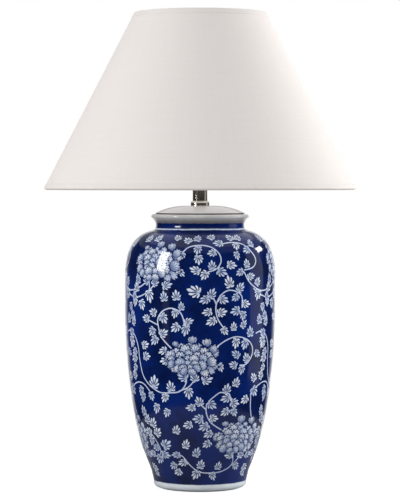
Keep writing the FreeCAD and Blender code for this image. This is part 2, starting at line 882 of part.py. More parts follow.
def make_bush():
    """The bush between stud and finial. The shade's hub turns on it."""
    bore = cell("stud_thread_radius") + cell("finial_bore_gap")
    flange = cell("bush_flange_thick")
    top = flange + cell("hub_thick") + cell("bush_stand")
    return turned(
        "spider_bush",
        [
            (bore, ZERO),
            (cell("bush_flange_radius"), ZERO),
            (cell("bush_flange_radius"), flange),
            (cell("bush_radius"), flange),
            (cell("bush_radius"), top),
            (bore, top),
        ],
        stud_top,
    )


def make_finial():
    """The finial's threaded foot, and the ball knob on it. Both are bored for the stud."""
    foot_r, foot_h = cell("finial_foot_radius"), cell("finial_foot_height")
    neck, ball, height = cell("finial_neck_radius"), cell("finial_ball_radius"), cell("finial_knob_height")
    bore = cell("stud_thread_radius") + cell("finial_bore_gap")
    foot = turned(
        "finial_foot",
        [(bore, ZERO), (foot_r, ZERO), (foot_r, foot_h * 0.35), (neck, foot_h), (bore, foot_h)],
        finial_low,
    )
    bore_depth = stud_top + cell("stud_length") + cell("finial_tip_gap") - finial_low - foot_h
    middle = height - ball
    low_rise = root(ball * ball - neck * neck)
    knob = turned(
        "finial_knob",
        [
            (bore, ZERO),
            (neck, ZERO),
            (neck, middle - low_rise, rise_over(ball, ball - neck, low_rise)),
            (ball, middle, rise_over(ball, ball, ball)),
            (ZERO, height),
            (ZERO, bore_depth),
            (bore, bore_depth),
        ],
        finial_low + foot_h,
    )
    return foot, knob


# ---- lampholder ----

cap_in = cell("cap_radius") - cell("cap_wall")
shell_out = cap_in - cell("shell_gap")
shell_in = shell_out - cell("shell_wall")
liner_out = shell_in - cell("shell_gap")
liner_in = liner_out - cell("liner_thick")
core_r = liner_in - cell("shell_gap")
shell_low = holder_low + cell("cap_height") - cell("cap_grip")
core_low = shell_low + cell("core_lift")
core_top = core_low + cell("core_height")
screw_in = cell("bulb_cap_radius") + cell("bulb_clearance")
key_z = core_low + cell("key_height") + cell("core_waist_height")
bulb_low = core_top + cell("tongue_height") + cell("bulb_gap")


def make_holder_cap():
    """The lampholder's bell-shaped cap, screwed on the rod, with a hole for the set screw in its hub."""
    hub_r, hub_h, wall = cell("cap_hub_radius"), cell("cap_hub_height"), cell("cap_wall")
    radius, height = cell("cap_radius"), cell("cap_height")
    bell = height - cell("cap_grip")
    rise = (radius - hub_r) / 5
    cap = turned(
        "cap_turned",
        [
            (rod_hole, ZERO),
            (hub_r, ZERO),
            (hub_r, hub_h - wall, rise),
            (radius, bell),
            (radius, height),
            (cap_in, height),
            (cap_in, bell, -rise),
            (hub_r - wall, hub_h),
            (rod_hole, hub_h),
        ],
        holder_low,
    )
    place = (ZERO, cell("rod_radius"), holder_low + cell("cap_hub_height") / 2)
    hole_radius = cell("set_screw_radius") + cell("turn_gap")
    hole = cylinder("set_screw_hole", hole_radius, cell("cap_radius"), place, "y")
    screw_place = (ZERO, cell("rod_radius") + cell("turn_gap"), place[2])
    screw = cylinder("set_screw", cell("set_screw_radius"), cell("set_screw_length"), screw_place, "y")
    return joined("Part::Cut", "holder_cap", cap, hole), screw


def front_hole(label, thing, radius):
    """Drills a holder part from the front for the key's shaft."""
    place = (ZERO, ZERO, key_z)
    drill = cylinder(f"{label}_drill", radius, cell("cap_radius") * 2, place, "y", backwards=True)
    return joined("Part::Cut", label, thing, drill)


def make_holder_shell():
    wide = cell("key_shaft_radius") + cell("key_hole_gap")
    blank = tube("shell_tube", shell_out, shell_in, shell_low, cell("shell_height"))
    shell = front_hole("holder_shell", blank, wide)
    liner_height = cell("shell_height") - cell("core_lift")
    liner_blank = tube("liner_tube", liner_out, liner_in, shell_low, liner_height)
    liner = front_hole("holder_liner", liner_blank, wide)
    return shell, liner


def make_holder_core():
    """The moulded core that holds the switch works: a waist with the terminals, a drum and a seat for the
    screw shell."""
    waist_r, waist_h = cell("core_waist_radius"), cell("core_waist_height")
    top, seat = cell("core_height"), cell("core_seat")
    socket_r = screw_in + cell("screw_shell_wall") + cell("turn_gap")
    blank = turned(
        "core_turned",
        [
            (ZERO, ZERO),
            (waist_r, ZERO),
            (waist_r, waist_h),
            (core_r, waist_h),
            (core_r, top + seat),
            (socket_r, top + seat),
            (socket_r, top),
            (ZERO, top),
        ],
        core_low,
    )
    place = (ZERO, -(core_r - cell("key_depth")), key_z)
    bore_r = cell("key_shaft_radius") + cell("turn_gap")
    bore = cylinder("core_bore", bore_r, cell("key_depth") * 2, place, "y", backwards=True)
    return joined("Part::Cut", "holder_core", blank, bore)


def make_contacts():
    """The screw shell that takes the bulb, and the tongue that its tip presses on."""
    wall = cell("screw_shell_wall")
    hole = cell("tongue_radius") + cell("tongue_gap")
    shell = turned(
        "screw_shell",
        [
            (hole, ZERO),
            (screw_in + wall, ZERO),
            (screw_in + wall, cell("screw_shell_height")),
            (screw_in, cell("screw_shell_height")),
            (screw_in, wall),
            (hole, wall),
        ],
        core_top,
    )
    tongue = tube(
        "centre_tongue", cell("tongue_radius"), cell("tongue_hole_radius"), core_top, cell("tongue_height")
    )
    return shell, tongue


def make_terminals():
    """The two terminal screws, one on each side of the core's waist."""
    waist, length = cell("core_waist_radius"), cell("terminal_length")
    height = core_low + cell("core_waist_height") / 2
    heads = []
    for side, name in ((1, "right"), (-1, "left")):
        place = (side * waist, ZERO, height)
        radius = cell("terminal_radius")
        heads.append(cylinder(f"{name}_terminal", radius, length, place, "x", backwards=side < 0))
    group = doc.addObject("Part::Compound", "terminal_screws")
    group.Label = "terminal_screws"
    group.Links = heads
    return group


def make_key():
    """The rotary key: its shaft turns in the core, and its fluted knob stands clear of the shell."""
    tip = shell_out + cell("key_stand") + cell("knob_socket")
    start = core_r - cell("key_depth") + cell("turn_gap") * 2
    place = (ZERO, -start, key_z)
    shaft = cylinder("key_shaft", cell("key_shaft_radius"), tip - start, place, "y", backwards=True)
    body = new_body("key_knob")
    radius, flute = cell("knob_radius"), cell("knob_flute_radius")
    outline = sketch_on(body, "XY_Plane", "outline")
    draw_circle(outline, radius)
    padded(body, outline, "pad", cell("knob_length"))
    socket = sketch_on(body, "XY_Plane", "socket", cell("knob_socket"))
    draw_circle(socket, cell("key_shaft_radius"))
    pocketed(body, socket, "socket_hole", cell("knob_socket"))
    groove = sketch_on(body, "XY_Plane", "flute", cell("knob_length"))
    draw_circle(groove, flute, radius + cell("knob_flute_offset"))
    cut = pocketed(body, groove, "flute_cut", cell("knob_length"))
    round_it = body.newObject("PartDesign::PolarPattern", "knob_flutes")
    round_it.Originals = [cut]
    round_it.Axis = (outline, ["N_Axis"])
    round_it.Angle = 360
    bind(round_it, "Occurrences", cell("knob_flutes"))
    body.Tip = round_it
    body.Placement.Rotation = FreeCAD.Rotation(FreeCAD.Vector(1, 0, 0), 90)
    bind(body, "Placement.Base.y", -(shell_out + cell("key_stand")))
    bind(body, "Placement.Base.z", key_z)
    return shaft, body


# ---- bulb ----


def make_bulb():
    """A screw-in lamp: tip contact, insulator, metal cap, moulded collar, light board and opal globe."""
    tip_r, tip = cell("contact_radius"), cell("contact_thick")
    cap_r, cap_h, ins_h = cell("bulb_cap_radius"), cell("bulb_cap_height"), cell("insulator_height")
    contact = turned("bulb_contact", [(ZERO, ZERO), (tip_r, ZERO), (tip_r, tip), (ZERO, tip)], bulb_low)
    ins_low = bulb_low + tip
    insulator = turned(
        "bulb_insulator",
        [(ZERO, ZERO), (tip_r, ZERO), (cap_r - cell("bulb_cap_chamfer"), ins_h), (ZERO, ins_h)],
        ins_low,
    )
    cap_low = ins_low + ins_h
    cap = turned("bulb_cap", [(ZERO, ZERO), (cap_r, ZERO), (cap_r, cap_h), (ZERO, cap_h)], cap_low)
    collar_low = cap_low + cap_h
    cone_h, cone_r, wall = cell("collar_cone_height"), cell("collar_top_radius"), cell("globe_wall")
    rim_r = cap_r + cell("collar_overhang")
    collar = turned(
        "bulb_collar",
        [(ZERO, ZERO), (rim_r, ZERO), (rim_r, cell("collar_rim")), (cone_r, cone_h), (ZERO, cone_h)],
        collar_low,
    )
    globe_low = collar_low + cone_h
    top = bulb_low + cell("bulb_length") - globe_low
    globe_r = cell("globe_radius")
    middle = top - globe_r
    inner_r = globe_r - wall
    cheek = (middle * middle + (globe_r - cone_r) * (globe_r - cone_r)) / (2 * (globe_r - cone_r))
    cheek_rise = rise_over(cheek, globe_r - cone_r, middle)
    globe = turned(
        "bulb_globe",
        [
            (cone_r, ZERO, cheek_rise),
            (globe_r, middle, rise_over(globe_r, globe_r, globe_r)),
            (ZERO, top),
            (ZERO, top - wall, -rise_over(inner_r, inner_r, inner_r)),
            (inner_r, middle, -cheek_rise),
            (cone_r - wall, ZERO),
        ],
        globe_low,
    )
    board = turned(
        "light_board",
        [
            (ZERO, ZERO),
            (cell("board_radius"), ZERO),
            (cell("board_radius"), cell("board_thick")),
            (ZERO, cell("board_thick")),
        ],
        globe_low,
    )
    return contact, insulator, cap, collar, board, globe


# ---- build, check and write ----

jar_body = keep(make_jar())
keep(make_grommet(jar_body))
keep(make_felt())
keep(make_gasket())
keep(make_lid())
for piece in make_base_fixings() + make_neck():
    keep(piece)
keep(make_saddle())
keep(hex_nut("saddle_nut", cell("nut_width"), rod_hole, saddle_top, cell("saddle_nut_height")))
keep(make_bow())
keep(make_stud())
keep(make_sleeve("sleeve_left", -1))
keep(make_sleeve("sleeve_right", 1))
for piece in make_holder_cap() + make_holder_shell() + (make_holder_core(),) + make_contacts():
    keep(piece)
keep(make_terminals())
for piece in make_key() + make_bulb():
    keep(piece)
keep(make_shade_cover())
top_ring = keep(make_ring("shade_top_ring", True))
keep(make_ring("shade_bottom_ring", False))
spider = keep(make_spider(top_ring))
keep(joined("Part::Cut", "shade_top_hem", make_hem("top_hem_folded", True), spider))
keep(make_hem("shade_bottom_hem", False))
keep(make_bush())
for piece in make_finial():
    keep(piece)

doc.recompute()
for thing in doc.Objects:
    if "Invalid" in thing.State or "Error" in thing.State:
        raise RuntimeError(f"{thing.Label} could not be built: {thing.State}")
os.makedirs("parts", exist_ok=True)
for label, thing in parts.items():
    shape = thing.Shape
    if shape.isNull() or not shape.isValid() or shape.Volume <= 0:
        raise RuntimeError(f"{label} has no valid solid")
    shape.exportStep(f"parts/{label}.step")
    print(f"{label}: {len(shape.Solids)} solid(s), {shape.Volume / 1000:.2f} cm3")
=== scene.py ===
from math import acos, asin, atan2, ceil, cos, dist, hypot, pi, radians, sin, sqrt, tan, tau
import random
import bpy
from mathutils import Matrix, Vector


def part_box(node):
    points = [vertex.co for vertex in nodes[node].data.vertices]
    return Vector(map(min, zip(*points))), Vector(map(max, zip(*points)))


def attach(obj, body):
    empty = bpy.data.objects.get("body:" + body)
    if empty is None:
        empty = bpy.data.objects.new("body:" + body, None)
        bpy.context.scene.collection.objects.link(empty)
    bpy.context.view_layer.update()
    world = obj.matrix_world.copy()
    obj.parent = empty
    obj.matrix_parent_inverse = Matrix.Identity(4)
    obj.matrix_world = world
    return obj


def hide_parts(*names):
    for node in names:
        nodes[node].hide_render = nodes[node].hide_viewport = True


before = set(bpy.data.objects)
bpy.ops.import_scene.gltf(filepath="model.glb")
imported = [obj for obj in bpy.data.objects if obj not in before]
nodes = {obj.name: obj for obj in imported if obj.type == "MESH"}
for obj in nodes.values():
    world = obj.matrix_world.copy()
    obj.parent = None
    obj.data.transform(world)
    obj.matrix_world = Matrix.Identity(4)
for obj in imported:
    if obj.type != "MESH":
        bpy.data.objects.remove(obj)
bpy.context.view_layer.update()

# Ginger jar lamp. Metres, +Z up, the front faces -Y. Outlines are (radius, height) in millimetres.

scene = bpy.context.scene
mm = 0.001
print("frame loaded:", len(nodes), "nodes")


# a wire is a node's socket with arithmetic
class Wire:
    def __init__(self, tree, socket):
        self.tree = tree
        self.socket = socket

    def other(self, name):
        return Wire(self.tree, self.socket.node.outputs[name])

    def largest(self, value):
        return self.tree.maths("MAXIMUM", self, value)

    def size(self):
        return self.tree.maths("ABSOLUTE", self)

    def step(self, low, high):
        # 0 below low, 1 above high, smooth between
        sockets = {"Value": self, "From Min": low, "From Max": high}
        return self.tree.add("ShaderNodeMapRange", sockets, interpolation_type="SMOOTHSTEP")

    def __add__(self, value):
        return self.tree.maths("ADD", self, value)

    def __sub__(self, value):
        return self.tree.maths("SUBTRACT", self, value)

    def __rsub__(self, value):
        return self.tree.maths("SUBTRACT", value, self)

    def __mul__(self, value):
        return self.tree.maths("MULTIPLY", self, value)

    def __truediv__(self, value):
        return self.tree.maths("DIVIDE", self, value)

    def __pow__(self, value):
        return self.tree.maths("POWER", self, value)

    __radd__ = __add__
    __rmul__ = __mul__


class Tree:
    def __init__(self, nodeTree):
        self.nodeTree = nodeTree

    def add(self, kind, sockets=None, out=0, **settings):
        node = self.nodeTree.nodes.new(kind)
        for name, value in settings.items():
            setattr(node, name, value)
        for name, value in (sockets or {}).items():
            self.feed(node.inputs[name], value)
        return Wire(self, node.outputs[out]) if node.outputs else node

    def feed(self, socket, value):
        if isinstance(value, Wire):
            self.nodeTree.links.new(value.socket, socket)
        else:
            socket.default_value = value

    def maths(self, operation, *values):
        return self.add("ShaderNodeMath", dict(enumerate(values)), operation=operation)

    def parts(self, vector):
        x = self.add("ShaderNodeSeparateXYZ", {"Vector": vector})
        return x, x.other("Y"), x.other("Z")

    def joined(self, x=0.0, y=0.0, z=0.0):
        return self.add("ShaderNodeCombineXYZ", {"X": x, "Y": y, "Z": z})

    def rays(self):
        # camera rays, and rays that mirror or pass through a surface
        camera = self.add("ShaderNodeLightPath", out="Is Camera Ray")
        return camera, camera.other("Is Glossy Ray").largest(camera.other("Is Transmission Ray"))


class Paint(Tree):
    def __init__(self, name, **skin):
        self.material = bpy.data.materials.new(name)
        self.material.use_nodes = True
        super().__init__(self.material.node_tree)
        self.skin = self.nodeTree.nodes["Principled BSDF"]
        for socket, value in skin.items():
            self.feed(self.skin.inputs[socket.replace("_", " ")], value)

    def place(self):
        return self.add("ShaderNodeTexCoord", out="Object")

    def flat(self, layer):
        return self.add("ShaderNodeUVMap", uv_map=layer)

    def carried(self, name):
        return self.add("ShaderNodeAttribute", out="Fac", attribute_name=name)

    def mix(self, factor, first, second):
        first, second = [value if isinstance(value, Wire) else (*value, 1) for value in (first, second)]
        return self.add("ShaderNodeMix", {0: factor, 6: first, 7: second}, out=2, data_type="RGBA")

    def noise(self, vector, scale, detail=2.0, rough=0.5, stretch=None):
        if stretch:
            vector = self.add("ShaderNodeMapping", {"Vector": vector, "Scale": stretch})
        sockets = {"Vector": vector, "Scale": scale, "Detail": detail, "Roughness": rough}
        return self.add("ShaderNodeTexNoise", sockets)

    def bump(self, height, strength, distance):
        sockets = {"Height": height, "Strength": strength, "Distance": distance}
        self.set("Normal", self.add("ShaderNodeBump", sockets))

    def set(self, socket, value):
        self.feed(self.skin.inputs[socket], value)


def arcPoints(start, end, rise, flat=0.012):
    # an arc between two points that stands off its chord by rise, to the right of the way it is drawn
    (x0, y0), (x1, y1) = start, end
    chord = hypot(x1 - x0, y1 - y0)
    radius = (chord * chord / 4 + rise * rise) / (2 * rise)
    way = ((x1 - x0) / chord, (y1 - y0) / chord)
    centre = ((x0 + x1) / 2 - way[1] * (radius - rise), (y0 + y1) / 2 + way[0] * (radius - rise))
    turn = 2 * asin(max(-1, min(1, chord / 2 / radius)))
    count = max(4, ceil(abs(turn) / (2 * acos(1 - flat / abs(radius)))))
    points = []
    for i in range(1, count):
        angle = turn * i / count
        c, s = cos(angle), sin(angle)
        dx, dy = x0 - centre[0], y0 - centre[1]
        points.append((centre[0] + dx * c - dy * s, centre[1] + dx * s + dy * c))
    return points


def outlinePoints(corners, closed=True):
    # a corner is (radius, height), with "rise" where an arc leads on and "soft" where the corner is rounded
    points, soft = [], {}
    count = len(corners)
    for i, corner in enumerate(corners):
        extra = corner[2] if len(corner) > 2 else {}
        if "soft" in extra:
            soft[len(points)] = extra["soft"]
        points.append(corner[:2])
        following = corners[(i + 1) % count]
        if extra.get("rise") and (closed or i < count - 1):
            points += arcPoints(corner[:2], following[:2], extra["rise"])
    return softened(points, soft)


def walk(points, start, step, distance):
    # the place a distance along the points, and how many points were passed
    here, index = points[start], start
    while True:
        following = points[(index + step) % len(points)]
        gap = dist(here, following)
        if gap >= distance:
            share = distance / gap
            place = tuple(a + (b - a) * share for a, b in zip(here, following))
            return place, abs(index - start)
        distance -= gap
        here = following
        index += step


def softened(points, soft, pieces=6):
    # every corner in soft, an index with its reach, gives way to a curve of that reach to either side
    result, skip = [], 0
    for index, point in enumerate(points):
        if skip:
            skip -= 1
        elif index not in soft:
            result.append(point)
        else:
            before, passed = walk(points, index, -1, soft[index])
            after, skip = walk(points, index, 1, soft[index])
            del result[len(result) - passed:]
            for i in range(pieces + 1):
                share = i / pieces
                start, middle, end = (1 - share) ** 2, 2 * share * (1 - share), share * share
                corners = zip(before, point, after)
                result.append(tuple(start * a + middle * b + end * c for a, b, c in corners))
    return result


def linked(name, data):
    thing = bpy.data.objects.new(name, data)
    scene.collection.objects.link(thing)
    return thing


def newPiece(name, vertices, faces, finish, smoothTo=38):
    mesh = bpy.data.meshes.new(name)
    mesh.from_pydata(vertices, [], faces)
    mesh.shade_smooth()
    mesh.set_sharp_from_angle(angle=radians(smoothTo))
    mesh.materials.append(finish)
    return linked(name, mesh)


def turnedPiece(name, outline, finish, segments, low=0.0, wave=None, smoothTo=38):
    # spins a closed outline about Z; wave(angle, radius, height) may move a point
    vertices, faces, uvs = [], [], []
    for radius, height in outline:
        for j in range(segments):
            angle = tau * j / segments
            r, z = wave(angle, radius, height) if wave else (radius, height)
            vertices.append((r * mm * cos(angle), r * mm * sin(angle), (z + low) * mm))
    around = tau * max(r for r, z in outline) * mm
    start = 0.0
    for i, (point, following) in enumerate(zip(outline, outline[1:] + outline[:1])):
        ring, above = i * segments, (i + 1) % len(outline) * segments
        end = start + dist(point, following) * mm
        for j in range(segments):
            k = (j + 1) % segments
            u0, u1 = around * j / segments, around * (j + 1) / segments
            faces.append((ring + j, ring + k, above + k, above + j))
            uvs += [(u0, start), (u1, start), (u1, end), (u0, end)]
        start = end
    piece = newPiece(name, vertices, faces, finish, smoothTo)
    layer = piece.data.uv_layers.new(name="clothUV")
    for loop, uv in zip(layer.data, uvs):
        loop.uv = uv
    return piece


glossLevel = 0.42  # a soft lead glaze mirrors a little less than glass


def glazePaint(name, roughness, dimple=0.03):
    paint = Paint(name, Specular_IOR_Level=glossLevel)
    place = paint.place()
    paint.set("Roughness", paint.noise(place, 55, 3).step(0.2, 0.8) * 0.05 + roughness)
    paint.bump(paint.noise(place, 38, 2), dimple, 0.002)
    return paint, place, paint.parts(place)[2] / mm


# heights where the colour changes, and the colours
jarColours = {
    "footTop": 12.2, "ringLow": 414.8, "ringTop": 416.6, "lipLow": 425.2, "lipMiddle": 435.0, "waver": 1.6,
    "deepBlue": (0.0008, 0.0065, 0.048), "royalBlue": (0.0012, 0.017, 0.155),
    "edgeBlue": (0.014, 0.045, 0.23),
    "footWhite": (0.83, 0.89, 0.94), "footThin": (0.45, 0.52, 0.60), "ringWhite": (0.66, 0.77, 0.97),
    # the lip's dark grey serves both as painted shade on the lip's underside and as a random grey tone
    "lipWhite": (0.64, 0.635, 0.63), "lipGreyAndShade": (0.20, 0.195, 0.20),
}


def jarGlaze():
    g = jarColours
    paint, place, height = glazePaint("cobaltGlaze", 0.07)
    height = height + (paint.noise(place, 90, 3) - 0.5) * g["waver"]
    cloud = paint.noise(place, 13, 5, 0.62)
    speck = paint.noise(place, 420, 2)
    blue = paint.mix(cloud.step(0.34, 0.66), g["deepBlue"], g["royalBlue"])
    blue = paint.mix(speck.step(0.62, 0.8) * 0.2, blue, g["edgeBlue"])
    foot = 1 - height.step(g["footTop"] - 0.6, g["footTop"] + 0.6)
    lip = height.step(g["lipLow"] - 0.5, g["lipLow"] + 0.5)
    ring = height.step(g["ringLow"] - 0.4, g["ringLow"] + 0.2)
    ring = ring * (1 - height.step(g["ringTop"] - 0.2, g["ringTop"] + 0.4))
    thin = paint.noise(place, 30, 4).step(0.35, 0.75) * 0.25
    blue = paint.mix(ring, blue, g["ringWhite"])
    blue = paint.mix(foot, blue, paint.mix(thin, g["footWhite"], g["footThin"]))
    # painted shade: the lip is painted darker grey towards its underside, from just above its foot up to
    # lipMiddle; the noise thin also greys it at random
    lipPaintedShade = 1 - height.step(g["lipLow"] + 1, g["lipMiddle"])
    white = paint.mix(lipPaintedShade.largest(thin), g["lipWhite"], g["lipGreyAndShade"])
    paint.set("Base Color", paint.mix(lip, blue, white))
    return paint.material


# the lid is painted dark brown below a wavering line between the two heights, at its lower edge where it
# meets the lip
lidColours = {
    "seatLow": 440.7, "seatTop": 441.2, "seat": (0.09, 0.075, 0.07), "speck": (0.45, 0.43, 0.42),
    "dull": (0.63, 0.60, 0.595), "pale": (0.68, 0.65, 0.645),
}


def lidGlaze():
    g = lidColours
    paint, place, height = glazePaint("lidGlaze", 0.1)
    cloud = paint.noise(place, 25, 4, 0.6)
    specks = paint.noise(place, 900, 1).step(0.74, 0.8)
    white = paint.mix(cloud.step(0.3, 0.7), g["dull"], g["pale"])
    white = paint.mix(specks * 0.2, white, g["speck"])
    seat = 1 - (height + (cloud - 0.5) * 0.6).step(g["seatLow"], g["seatTop"])
    paint.set("Base Color", paint.mix(seat, white, g["seat"]))
    return paint.material


# each motif fans from its foot, below its middle; its right half is listed as (degrees from its tip, reach)
petal = {
    "foot": 0.5, "narrow": 0.86, "rings": 3, "middle": -0.28, "ink": (0.006, 0.022, 0.13),
    "root": (0.10, 0.17, 0.40), "dull": (0.56, 0.66, 0.86), "pale": (0.82, 0.88, 0.97),
    "reaches": [
        (0, 1.0), (7, 0.97), (12, 0.76), (17, 0.92), (24, 0.96), (30, 0.86), (34, 0.66), (40, 0.80),
        (48, 0.80), (54, 0.62), (61, 0.52), (74, 0.46), (98, 0.24), (180, 0.02),
    ],
}

leaf = {
    "foot": 0.45, "narrow": 1.0, "rings": 2, "middle": -0.2, "gaps": (14, 41, 73),
    "ink": (0.008, 0.028, 0.15), "root": (0.22, 0.34, 0.52), "dull": (0.56, 0.66, 0.88),
    "pale": (0.78, 0.85, 0.97),
    "reaches": [
        (0, 1.0), (6, 0.88), (14, 0.67), (20, 0.76), (26, 0.82), (33, 0.68), (41, 0.50), (48, 0.59),
        (55, 0.64), (64, 0.51), (73, 0.35), (84, 0.42), (96, 0.42), (113, 0.28), (136, 0.14), (180, 0.03),
    ],
}


def motifPaint(name, motif, grain, sway):
    # places on the motif run across it and up from its foot; shake is the brush's
    paint = Paint(name, Roughness=0.09, Specular_IOR_Level=glossLevel)
    across, along, _ = paint.parts(paint.flat("motifUV"))
    shake = (paint.noise(paint.place(), grain, 2) - 0.5) * sway
    white = paint.mix(paint.carried("tone"), motif["dull"], motif["pale"])
    return paint, across, along, along + motif["foot"], shake, white


def paintedPetal():
    # shaded at its root, pale at the ruffled edge, with fanned strokes and a blue outline
    paint, across, along, up, shake, white = motifPaint("paintedPetal", petal, 260, 0.3)
    fan = paint.maths("ARCTAN2", across, up)
    strokes = paint.maths("COSINE", (fan + shake * 0.15) * 19).step(0.35, 0.95)
    strokes = strokes * (1 - along.step(0.0, shake + 0.44))
    line = (paint.carried("rim") + shake * 0.2).step(0.76, 0.86)
    root = 1 - along.step(-0.4, shake + 0.12)
    shaded = paint.mix(root * 0.8, white, petal["root"])
    paint.set("Base Color", paint.mix((strokes * 0.8).largest(line), shaded, petal["ink"]))
    return paint.material


def paintedLeaf():
    # each lobe is left pale, and blue strokes run between the lobes from the leaf's foot
    paint, across, _, up, shake, white = motifPaint("paintedLeaf", leaf, 300, 0.12)
    fan = paint.maths("ARCTAN2", across, up).size()
    reach = (across * across + up * up) ** 0.5
    foot = reach.step(0.10, 0.28)
    ink = (1 - (fan * reach).step(0.012, 0.04)) * (1 - reach.step(0.35, 0.7)) * 0.7
    for angle in leaf["gaps"]:
        apart = (fan + shake - radians(angle)).size() * reach
        ink = ink.largest((1 - apart.step(0.03, 0.072)) * foot)
    heart = 1 - (reach + shake).step(0.06, 0.24)
    white = paint.mix(heart * 0.4, white, leaf["root"])
    paint.set("Base Color", paint.mix(ink, white, leaf["ink"]))
    return paint.material


def paintedStem():
    paint = Paint("paintedStem", Roughness=0.09, Specular_IOR_Level=glossLevel)
    side = paint.carried("across").size()
    cloud = paint.noise(paint.place(), 120, 2).step(0.3, 0.7)
    pale = paint.mix(cloud, (0.54, 0.62, 0.84), (0.68, 0.75, 0.90))
    paint.set("Base Color", paint.mix(side.step(0.65, 1.0) * 0.3, pale, (0.12, 0.19, 0.50)))
    return paint.material


def nickelPlate(name, colour, roughness=0.22, stretch=(1, 1, 0.02)):
    # drawn metal: fine streaks that run round or along it
    paint = Paint(name, Metallic=1.0)
    place = paint.place()
    streak = paint.noise(place, 900, 3, 0.6, stretch)
    cloud = paint.noise(place, 40, 3)
    paint.set("Base Color", paint.mix(cloud, [c * 0.86 for c in colour], colour))
    paint.set("Roughness", streak * 0.1 + cloud * 0.08 + (roughness - 0.09))
    paint.bump(streak, 0.05, 0.0005)
    return paint.material


threadPitch = 0.62 * mm


def linenFinish(name, light, dark, weave=0.3, sheen=0.03):
    # plain weave on the piece's own UV map: warp and weft threads cross over and under
    paint = Paint(name, Sheen_Weight=sheen, Sheen_Roughness=0.5)
    uv = paint.flat("clothUV")
    u, v, _ = paint.parts(uv)
    lumps = paint.noise(uv, 160, 3, 0.6)
    warpSlub = paint.noise(uv, 260, 2, 0.5, (1, 0.03, 1))
    weftSlub = paint.noise(uv, 260, 2, 0.5, (0.03, 1, 1))
    warp = paint.maths("SINE", (u / threadPitch + warpSlub * 1.5) * pi)
    weft = paint.maths("SINE", (v / threadPitch + weftSlub * 1.5) * pi)
    over = warp * weft
    height = over * 0.5 + 0.5 + (warpSlub + weftSlub) * 0.6
    shade = (over * 0.35 + warpSlub * 0.5 + weftSlub * 0.5 + lumps * 0.4).step(0.2, 1.1)
    paint.set("Base Color", paint.mix(shade, dark, light))
    paint.set("Roughness", over * 0.04 + 0.86)
    paint.bump(height, weave, 0.0003)
    return paint.material


def enamelWire():
    paint = Paint("whiteEnamel")
    place = paint.place()
    chips = paint.noise(place, 130, 4, 0.7).step(0.66, 0.7)
    paint.set("Base Color", paint.mix(chips, (0.74, 0.735, 0.71), (0.55, 0.53, 0.49)))
    paint.set("Roughness", paint.noise(place, 300, 2) * 0.2 + 0.3)
    paint.bump(paint.noise(place, 600, 2), 0.1, 0.0003)
    return paint.material


def plainFinish(name, cloud, colours, grain, bump, dull=None, **skin):
    # a cloud mixes two colours, a grain gives the bump, and dull is a noise with its span and its low end
    paint = Paint(name, **skin)
    place = paint.place()
    paint.set("Base Color", paint.mix(paint.noise(place, *cloud), *colours))
    if dull:
        noise, span, low = dull
        paint.set("Roughness", paint.noise(place, *noise) * span + low)
    paint.bump(paint.noise(place, *grain), *bump)
    return paint.material


def mouldedFinish(name, colour, roughness=0.3):
    return plainFinish(
        name, cloud=(60, 3), colours=([c * 0.8 for c in colour], colour), grain=(900, 2), bump=(0.08, 0.0003),
        dull=((350, 3), 0.16, roughness),
    )


glaze, lidWhite = jarGlaze(), lidGlaze()
petalPaint, leafPaint, stemPaint = paintedPetal(), paintedLeaf(), paintedStem()
nickel = nickelPlate("nickel", (0.50, 0.44, 0.38))
nickelBright = nickelPlate("nickelBright", (0.62, 0.58, 0.52), 0.16, (1, 1, 1))
zinc = nickelPlate("zincPlate", (0.50, 0.50, 0.49), 0.36, (1, 1, 1))
brass = nickelPlate("brass", (0.62, 0.42, 0.17), 0.28, (1, 1, 0.1))
capMetal = nickelPlate("capMetal", (0.60, 0.60, 0.59), 0.25, (1, 1, 1))
rubber = plainFinish(
    "blackRubber", cloud=(50, 3), colours=((0.021, 0.021, 0.021), (0.03, 0.03, 0.03)), grain=(1400, 3),
    bump=(0.15, 0.0004), dull=((1400, 3), 0.2, 0.5),
)
felt = plainFinish(
    "greenFelt", cloud=(700, 5, 0.7), colours=((0.012, 0.045, 0.020), (0.035, 0.10, 0.045)),
    grain=(700, 5, 0.7), bump=(0.8, 0.001), Sheen_Weight=0.4, Sheen_Roughness=0.6, Roughness=0.95,
)
card = plainFinish(
    "linerCard", cloud=(500, 5, 0.7, (1, 1, 0.2)), colours=((0.24, 0.17, 0.10), (0.36, 0.27, 0.17)),
    grain=(500, 5, 0.7, (1, 1, 0.2)), bump=(0.4, 0.0004), Roughness=0.85,
)
opal = plainFinish(
    "opalGlobe", cloud=(20, 2), colours=((0.80, 0.80, 0.78), (0.85, 0.85, 0.84)), grain=(700, 2),
    bump=(0.03, 0.0003), Subsurface_Weight=0.15, Roughness=0.35,
)
lining = plainFinish(
    "shadeLining", cloud=(12, 3), colours=((0.76, 0.755, 0.73), (0.82, 0.815, 0.80)), grain=(500, 2),
    bump=(0.06, 0.0004), Roughness=0.5,
)
bushPlastic = mouldedFinish("bushPlastic", (0.02, 0.02, 0.02), 0.4)
corePlastic = mouldedFinish("corePlastic", (0.015, 0.013, 0.012), 0.2)
bulbWhite = mouldedFinish("bulbWhite", (0.76, 0.76, 0.74), 0.35)
boardWhite = mouldedFinish("boardWhite", (0.72, 0.72, 0.66), 0.45)
enamel = enamelWire()
linen = linenFinish("shadeLinen", (0.80, 0.756, 0.73), (0.75, 0.706, 0.678))
trimCloth = linenFinish("trimLinen", (0.795, 0.75, 0.725), (0.735, 0.69, 0.66), 0.45)
print("finishes made")


